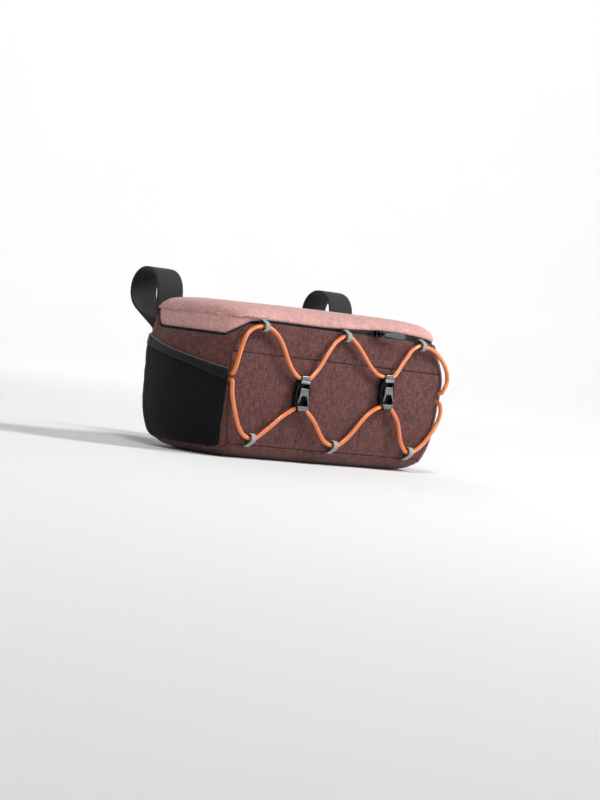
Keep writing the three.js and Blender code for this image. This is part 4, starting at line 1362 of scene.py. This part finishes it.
class BAG_OT_tray(bpy.types.Operator):
    """Sew the padded bottom with its turned-up rim"""
    bl_idname = "bag.tray"
    bl_label = "Bottom tray"

    samples = 300
    rows = 16
    flat_rows = 13

    def execute(self, context):
        heights, lengths = front_profile(BASE, BOTTOM_SEAM, self.samples)
        total = lengths[-1]
        hidden = lengths - section_at(heights)[:, FRONT] + SECTIONS[BASE].front
        drops = np.concatenate([
            EDGE_STEPS, np.linspace(EDGE_STEPS[-1], total, self.rows)[1:],
            total + MIDDLE_RUN * np.linspace(0, 1, self.flat_rows + 1)[1:],
        ])

        def place(around, drop):
            rim = tray_rim(np.mod(around, AROUND))
            wanted = np.interp(total - np.clip(drop, 0, total), lengths, heights)
            height = BASE + (wanted - BASE) * (rim - BASE) / (BOTTOM_SEAM - BASE)
            points, out = skin_frame(around, height)
            inward = inward_share(drop, total)
            points[:, :2] *= 1 - inward[:, None]
            return dished(points, out, around, drop, TRAY_SEAM, inward, np.interp(height, heights, hidden))

        places = even_places(context.scene.handlebar_bag_sizes.grid / MM)
        mesh = grid_mesh("bottom_tray_cloth", places, drops[::-1], place)
        close_mesh(mesh, fill=False)
        show_padded("bottom_tray_cloth", mesh, "body_cloth", "bottom_tray")
        return {"FINISHED"}


class Cover(Wall):
    """A piece of cloth that lies on an end panel and stands off it."""

    def __init__(self, base, start, stop, low, high, turns, stand, puff, slant, seed):
        self.base, self.stand, self.puff, self.slant = base, stand, puff, slant
        super().__init__(start, stop, low, high, turns, seed=seed)

    def around(self, along, share):
        """The front edge draws back towards the foot by the slant, which is negative on the left."""
        forward = np.clip(along / self.length, 0, 1)
        forward = forward if self.slant < 0 else 1 - forward
        return super().around(along, share) + self.slant * (1 - share) * forward ** 2

    def padded(self, along, up):
        points, out, cut = self.spot(along, up)
        around = self.around(along, self.share(up))
        base = self.base
        low, high = z_at(base.low(around)), z_at(base.high(around))
        rise = (points[:, 2] - low) / (high - low) * base.rise
        across = np.interp(around, base.places, base.lengths)
        points = points + sample(base.field, base.columns, base.rows, across, rise)
        middle = np.sin(np.pi * np.clip(along / self.length, 0, 1)) ** 2
        lift = self.stand + middle * self.puff(self.share(up))
        return points + out * lift[:, None], out, cut


class Hem(Cover):
    """The elastic along a pocket's mouth, whose own lengths are counted down from the mouth."""

    def place(self, along, up):
        points, _ = super().place(along, up)
        return points, np.stack([along, self.rise - up], -1)


KNIT_EDGE = (0.8, 0.1)
KNIT_TOP = (0.5, 0.05)
HEM_SIDE = (0.8, 0.05)
HEM_FOOT = (0.6, 0.05)
HEM_MOUTH = (0.8, 0.12)


@lru_cache(maxsize=None)
def pocket(side, piece):
    front, back = ENDS[side]
    inward = np.sign(back - front)
    edges = sorted([front + inward * POCKET_SETBACK[side], back - inward * POCKET_MARGIN])
    base, seed = wall(f"end_panel_{side}"), POCKET_SEED[side]

    def hem_line(around):
        return pocket_mouth(around) - HEM_HEIGHT

    def foot(around):
        return tray_rim(around) + POCKET_FOOT

    def even(rise):
        return np.full(rise.shape, POCKET_PUFF)

    def growing(rise):
        return POCKET_PUFF * np.sin(0.5 * np.pi * rise)

    if piece == "hem":
        turns = edge_turns(HEM_SIDE, HEM_FOOT, HEM_MOUTH)
        return Hem(base, *edges, hem_line, pocket_mouth, turns, HEM_STAND, even, 0, seed)
    turns = edge_turns(KNIT_EDGE, KNIT_EDGE, KNIT_TOP)
    slant = inward * POCKET_SLANT
    return Cover(base, *edges, foot, hem_line, turns, KNIT_STAND, growing, slant, seed)


class BAG_OT_pockets(bpy.types.Operator):
    """Sew the stretch pockets and their elastic hems on the ends"""
    bl_idname = "bag.pockets"
    bl_label = "Pockets"

    def execute(self, context):
        sizes = context.scene.handlebar_bag_sizes
        step = sizes.grid / MM
        for side in ENDS:
            knit = pocket(side, "knit")
            mesh = knit.mesh(f"pocket_knit_{side}", step, step)
            piece = show(f"pocket_knit_{side}", mesh, "pocket_mesh", [f"mesh_pocket_{side}"])
            thicken(piece, sizes.knit / MM)
            mesh = pocket(side, "hem").mesh(f"pocket_edge_{side}", step, HEM_GRID)
            band = show(f"pocket_edge_{side}", mesh, "pocket_elastic", [f"pocket_hem_{side}"])
            thicken(band, HEM_THICK)
        return {"FINISHED"}


class BAG_OT_zip(bpy.types.Operator):
    """Sew in the zip and put on its slider and pull"""
    bl_idname = "bag.zip"
    bl_label = "Zip"

    recess = 1.9
    slit_depth = 1.1
    slit_width = 0.13
    lip_height = 0.35
    lip_place = 0.2
    lip_width = 0.1
    margin = 0.06
    end_gap = 0.3
    columns = 300
    rows = 25
    thick = 0.6
    metal_edge = 0.22

    def execute(self, context):
        tape = Wall(LEFT_BACK, RIGHT_BACK, zip_line, lid_rim, {})

        def place(along, share):
            points, out, cut = tape.spot(along, tape.rise * (self.margin + (1 - 2 * self.margin) * share))
            off = np.abs(share - 0.5)
            slit = self.slit_depth * np.exp(-(off / self.slit_width) ** 2)
            lips = self.lip_height * np.exp(-((off - self.lip_place) / self.lip_width) ** 2)
            return points + out * (lips - self.recess - slit)[:, None], cut

        along = np.linspace(self.end_gap, tape.length - self.end_gap, self.columns)
        mesh = grid_mesh("zip_tape_lips", along, np.linspace(0, 1, self.rows), place)
        piece = show("zip_tape_lips", mesh, "zip_tape", ["zip_tape"])
        thicken(piece, self.thick)
        for node, body in (("zip_slider", BAG), ("zip_pull", "zip_pull")):
            mesh = rounded_copy(node, f"{node}_metal", self.metal_edge)
            show(f"{node}_metal", mesh, "zip_metal", [node], body, flat=True)
        return {"FINISHED"}


class BAG_OT_tabs(bpy.types.Operator):
    """Fold the webbing tabs round the cord"""
    bl_idname = "bag.tabs"
    bl_label = "Cord tabs"

    step = 0.5
    passes = 3
    sides = 24
    square = 5.0

    def execute(self, context):
        for index, x in enumerate(TAB_X, 1):
            self.tab(f"tab_top_{index}", "top", x, TAB_TOP)
            self.tab(f"tab_bottom_{index}", "bottom", x, TAB_BOTTOM)
        return {"FINISHED"}

    def tab(self, node, kind, x, z):
        name = f"{node}_webbing"
        point, out = front_place(x, z, 0.0)
        seam = UP if kind == "top" else -UP
        line = belt((CORD_LIFT, 0), TAB_FOLD, (TAB_SEAT[kind], TAB_REACH[kind]), TAB_END_FOLD)
        points = point + line[:, :1] * out + line[:, 1:] * seam
        points = relaxed(even_line(points, self.step), self.passes)
        wide = np.tile(np.cross(out, seam), (len(points), 1))
        mesh = swept(name, points, wide, TAB_HALF_WIDTH, TAB_HALF_THICK, self.sides, self.square)
        show(name, mesh, "webbing", [node])


class BAG_OT_clips(bpy.types.Operator):
    """Mould the clips that pull the two runs of cord together"""
    bl_idname = "bag.clips"
    bl_label = "Clips"

    bevel = 0.2

    def execute(self, context):
        for row in CLIPS:
            point, _ = front_place(row.x, row.z, CORD_LIFT)
            lean = Matrix.Rotation(np.radians(row.lean), 4, "Y")
            matrix = Matrix.Scale(MM, 4) @ Matrix.Translation(Vector(point)) @ lean
            plates = moulded(CLIP_PLATES, self.bevel)
            for shape in BARRELS:
                barrel(plates, shape)
            frames = moulded(CLIP_FRAME, self.bevel)
            for kind, bm, finish in (("plastic", plates, "clip_plastic"), ("frame", frames, "clip_frame")):
                name = f"{row.name}_{kind}"
                mesh = mesh_from(bm, name, matrix)
                show(name, mesh, "clip_plastic", [row.name], flat=True, finish=finish)
        return {"FINISHED"}


class BAG_OT_straps(bpy.types.Operator):
    """Loop the two bar straps behind the bag"""
    bl_idname = "bag.straps"
    bl_label = "Bar straps"

    back_gap = 0.02
    layer_gap = 0.1
    foot_gap = 0.4
    join_drop = 2
    step = 1.2
    passes = 12
    sides = 40
    square = 7.0

    def execute(self, context):
        inner = STRAP_BACK + STRAP_HALF_THICK + self.back_gap
        outer = inner + 2 * STRAP_HALF_THICK + self.layer_gap
        fold = (outer - inner) / 2
        foot, join = STRAP_FOOT_Z + self.foot_gap, STRAP_JOIN_Z - self.join_drop
        line = belt((BAR_Y, BAR_Z), BAR_RADIUS + STRAP_HALF_THICK, (inner + fold, STRAP_JOIN_Z), fold,
                    [(outer, foot), (outer, join)], [(inner, join), (inner, foot)])
        for side, x in (("left", -STRAP_X), ("right", STRAP_X)):
            name = f"strap_{side}_band"
            points = np.column_stack([np.full(len(line), float(x)), line])
            points = relaxed(even_line(points, self.step), self.passes)
            wide = np.tile([1.0, 0, 0], (len(points), 1))
            mesh = swept(name, points, wide, STRAP_HALF_WIDTH, STRAP_HALF_THICK, self.sides, self.square)
            show(name, mesh, "strap_cloth", [f"strap_{side}"])
        return {"FINISHED"}


class BAG_OT_stitching(bpy.types.Operator):
    """Sew the rows of stitches beside the seams, along the pocket hems and on the straps"""
    bl_idname = "bag.stitching"
    bl_label = "Stitching"

    body_row = {"margin": 3, "count": 300, "stand": 0.06}
    yoke_inset = 3.2
    front_inset = 2.0
    hem_row = {"margin": 1.5, "count": 200, "stand": 0.05, "length": 1.8, "gap": 1.0}
    hem_foot_inset = 1.4
    hem_mouth_inset = 2.0
    box_row = {"length": 2.0, "gap": 1.0}
    box_points = 12
    box_stand = 0.16
    box_inset = 3
    box_top_inset = 8

    def execute(self, context):
        body = bmesh.new()
        yoke = wall("front_yoke")
        self.row(body, yoke, yoke.rise - self.yoke_inset, **self.body_row)
        self.row(body, wall("front_panel"), self.front_inset, **self.body_row)
        show("body_stitches", mesh_from(body, "body_stitches"), "body_cloth", finish="body_thread")
        black = bmesh.new()
        for side in ENDS:
            hem = pocket(side, "hem")
            for height in (self.hem_foot_inset, hem.rise - self.hem_mouth_inset):
                self.row(black, hem, height, **self.hem_row)
        self.strap_boxes(black)
        show("black_stitches", mesh_from(black, "black_stitches"), "strap_cloth", finish="black_thread")
        return {"FINISHED"}

    def row(self, bm, panel, height, margin, count, stand, **stitch):
        along = np.linspace(margin, panel.length - margin, count)
        sew(bm, *panel.line(along, np.full(along.shape, height), stand), **stitch)

    def strap_boxes(self, bm):
        """A box with a cross through it on each strap's sewn layers."""
        y = STRAP_BACK + 4 * STRAP_HALF_THICK + self.box_stand
        low, high = STRAP_FOOT_Z + self.box_inset, STRAP_JOIN_Z - self.box_top_inset
        half = STRAP_HALF_WIDTH - self.box_inset
        out = np.tile([0.0, 1, 0], (self.box_points, 1))
        for x in (-STRAP_X, STRAP_X):
            box = [(x - half, y, low), (x + half, y, low), (x + half, y, high), (x - half, y, high)]
            lines = [*zip(box, [*box[1:], box[0]]), (box[0], box[2]), (box[1], box[3])]
            for start, stop in lines:
                sew(bm, np.linspace(start, stop, self.box_points), out, **self.box_row)


CLASSES = [
    BagColours, BagSizes, BAG_OT_stage, BAG_OT_cords, BAG_OT_panels, BAG_OT_lid, BAG_OT_tray,
    BAG_OT_pockets, BAG_OT_zip, BAG_OT_tabs, BAG_OT_clips, BAG_OT_straps, BAG_OT_stitching,
]
STEPS = ["stage", "cords", "panels", "lid", "tray", "pockets", "zip", "tabs", "clips", "straps",
         "stitching"]


class BAG_PT_pieces(bpy.types.Panel):
    """The bag's pieces"""
    bl_idname = "BAG_PT_pieces"
    bl_label = "Handlebar bag"
    bl_space_type = "VIEW_3D"
    bl_region_type = "UI"
    bl_category = "Bag"

    def draw(self, context):
        for step in STEPS:
            self.layout.operator(f"bag.{step}")


def register():
    for made in [*CLASSES, BAG_PT_pieces]:
        bpy.utils.register_class(made)
    bpy.types.Scene.handlebar_bag_colours = bpy.props.PointerProperty(type=BagColours)
    bpy.types.Scene.handlebar_bag_sizes = bpy.props.PointerProperty(type=BagSizes)


def unregister():
    del bpy.types.Scene.handlebar_bag_sizes
    del bpy.types.Scene.handlebar_bag_colours
    for made in reversed([*CLASSES, BAG_PT_pieces]):
        bpy.utils.unregister_class(made)


def main():
    register()
    for step in STEPS:
        getattr(bpy.ops.bag, step)()


if __name__ == "__main__":
    main()
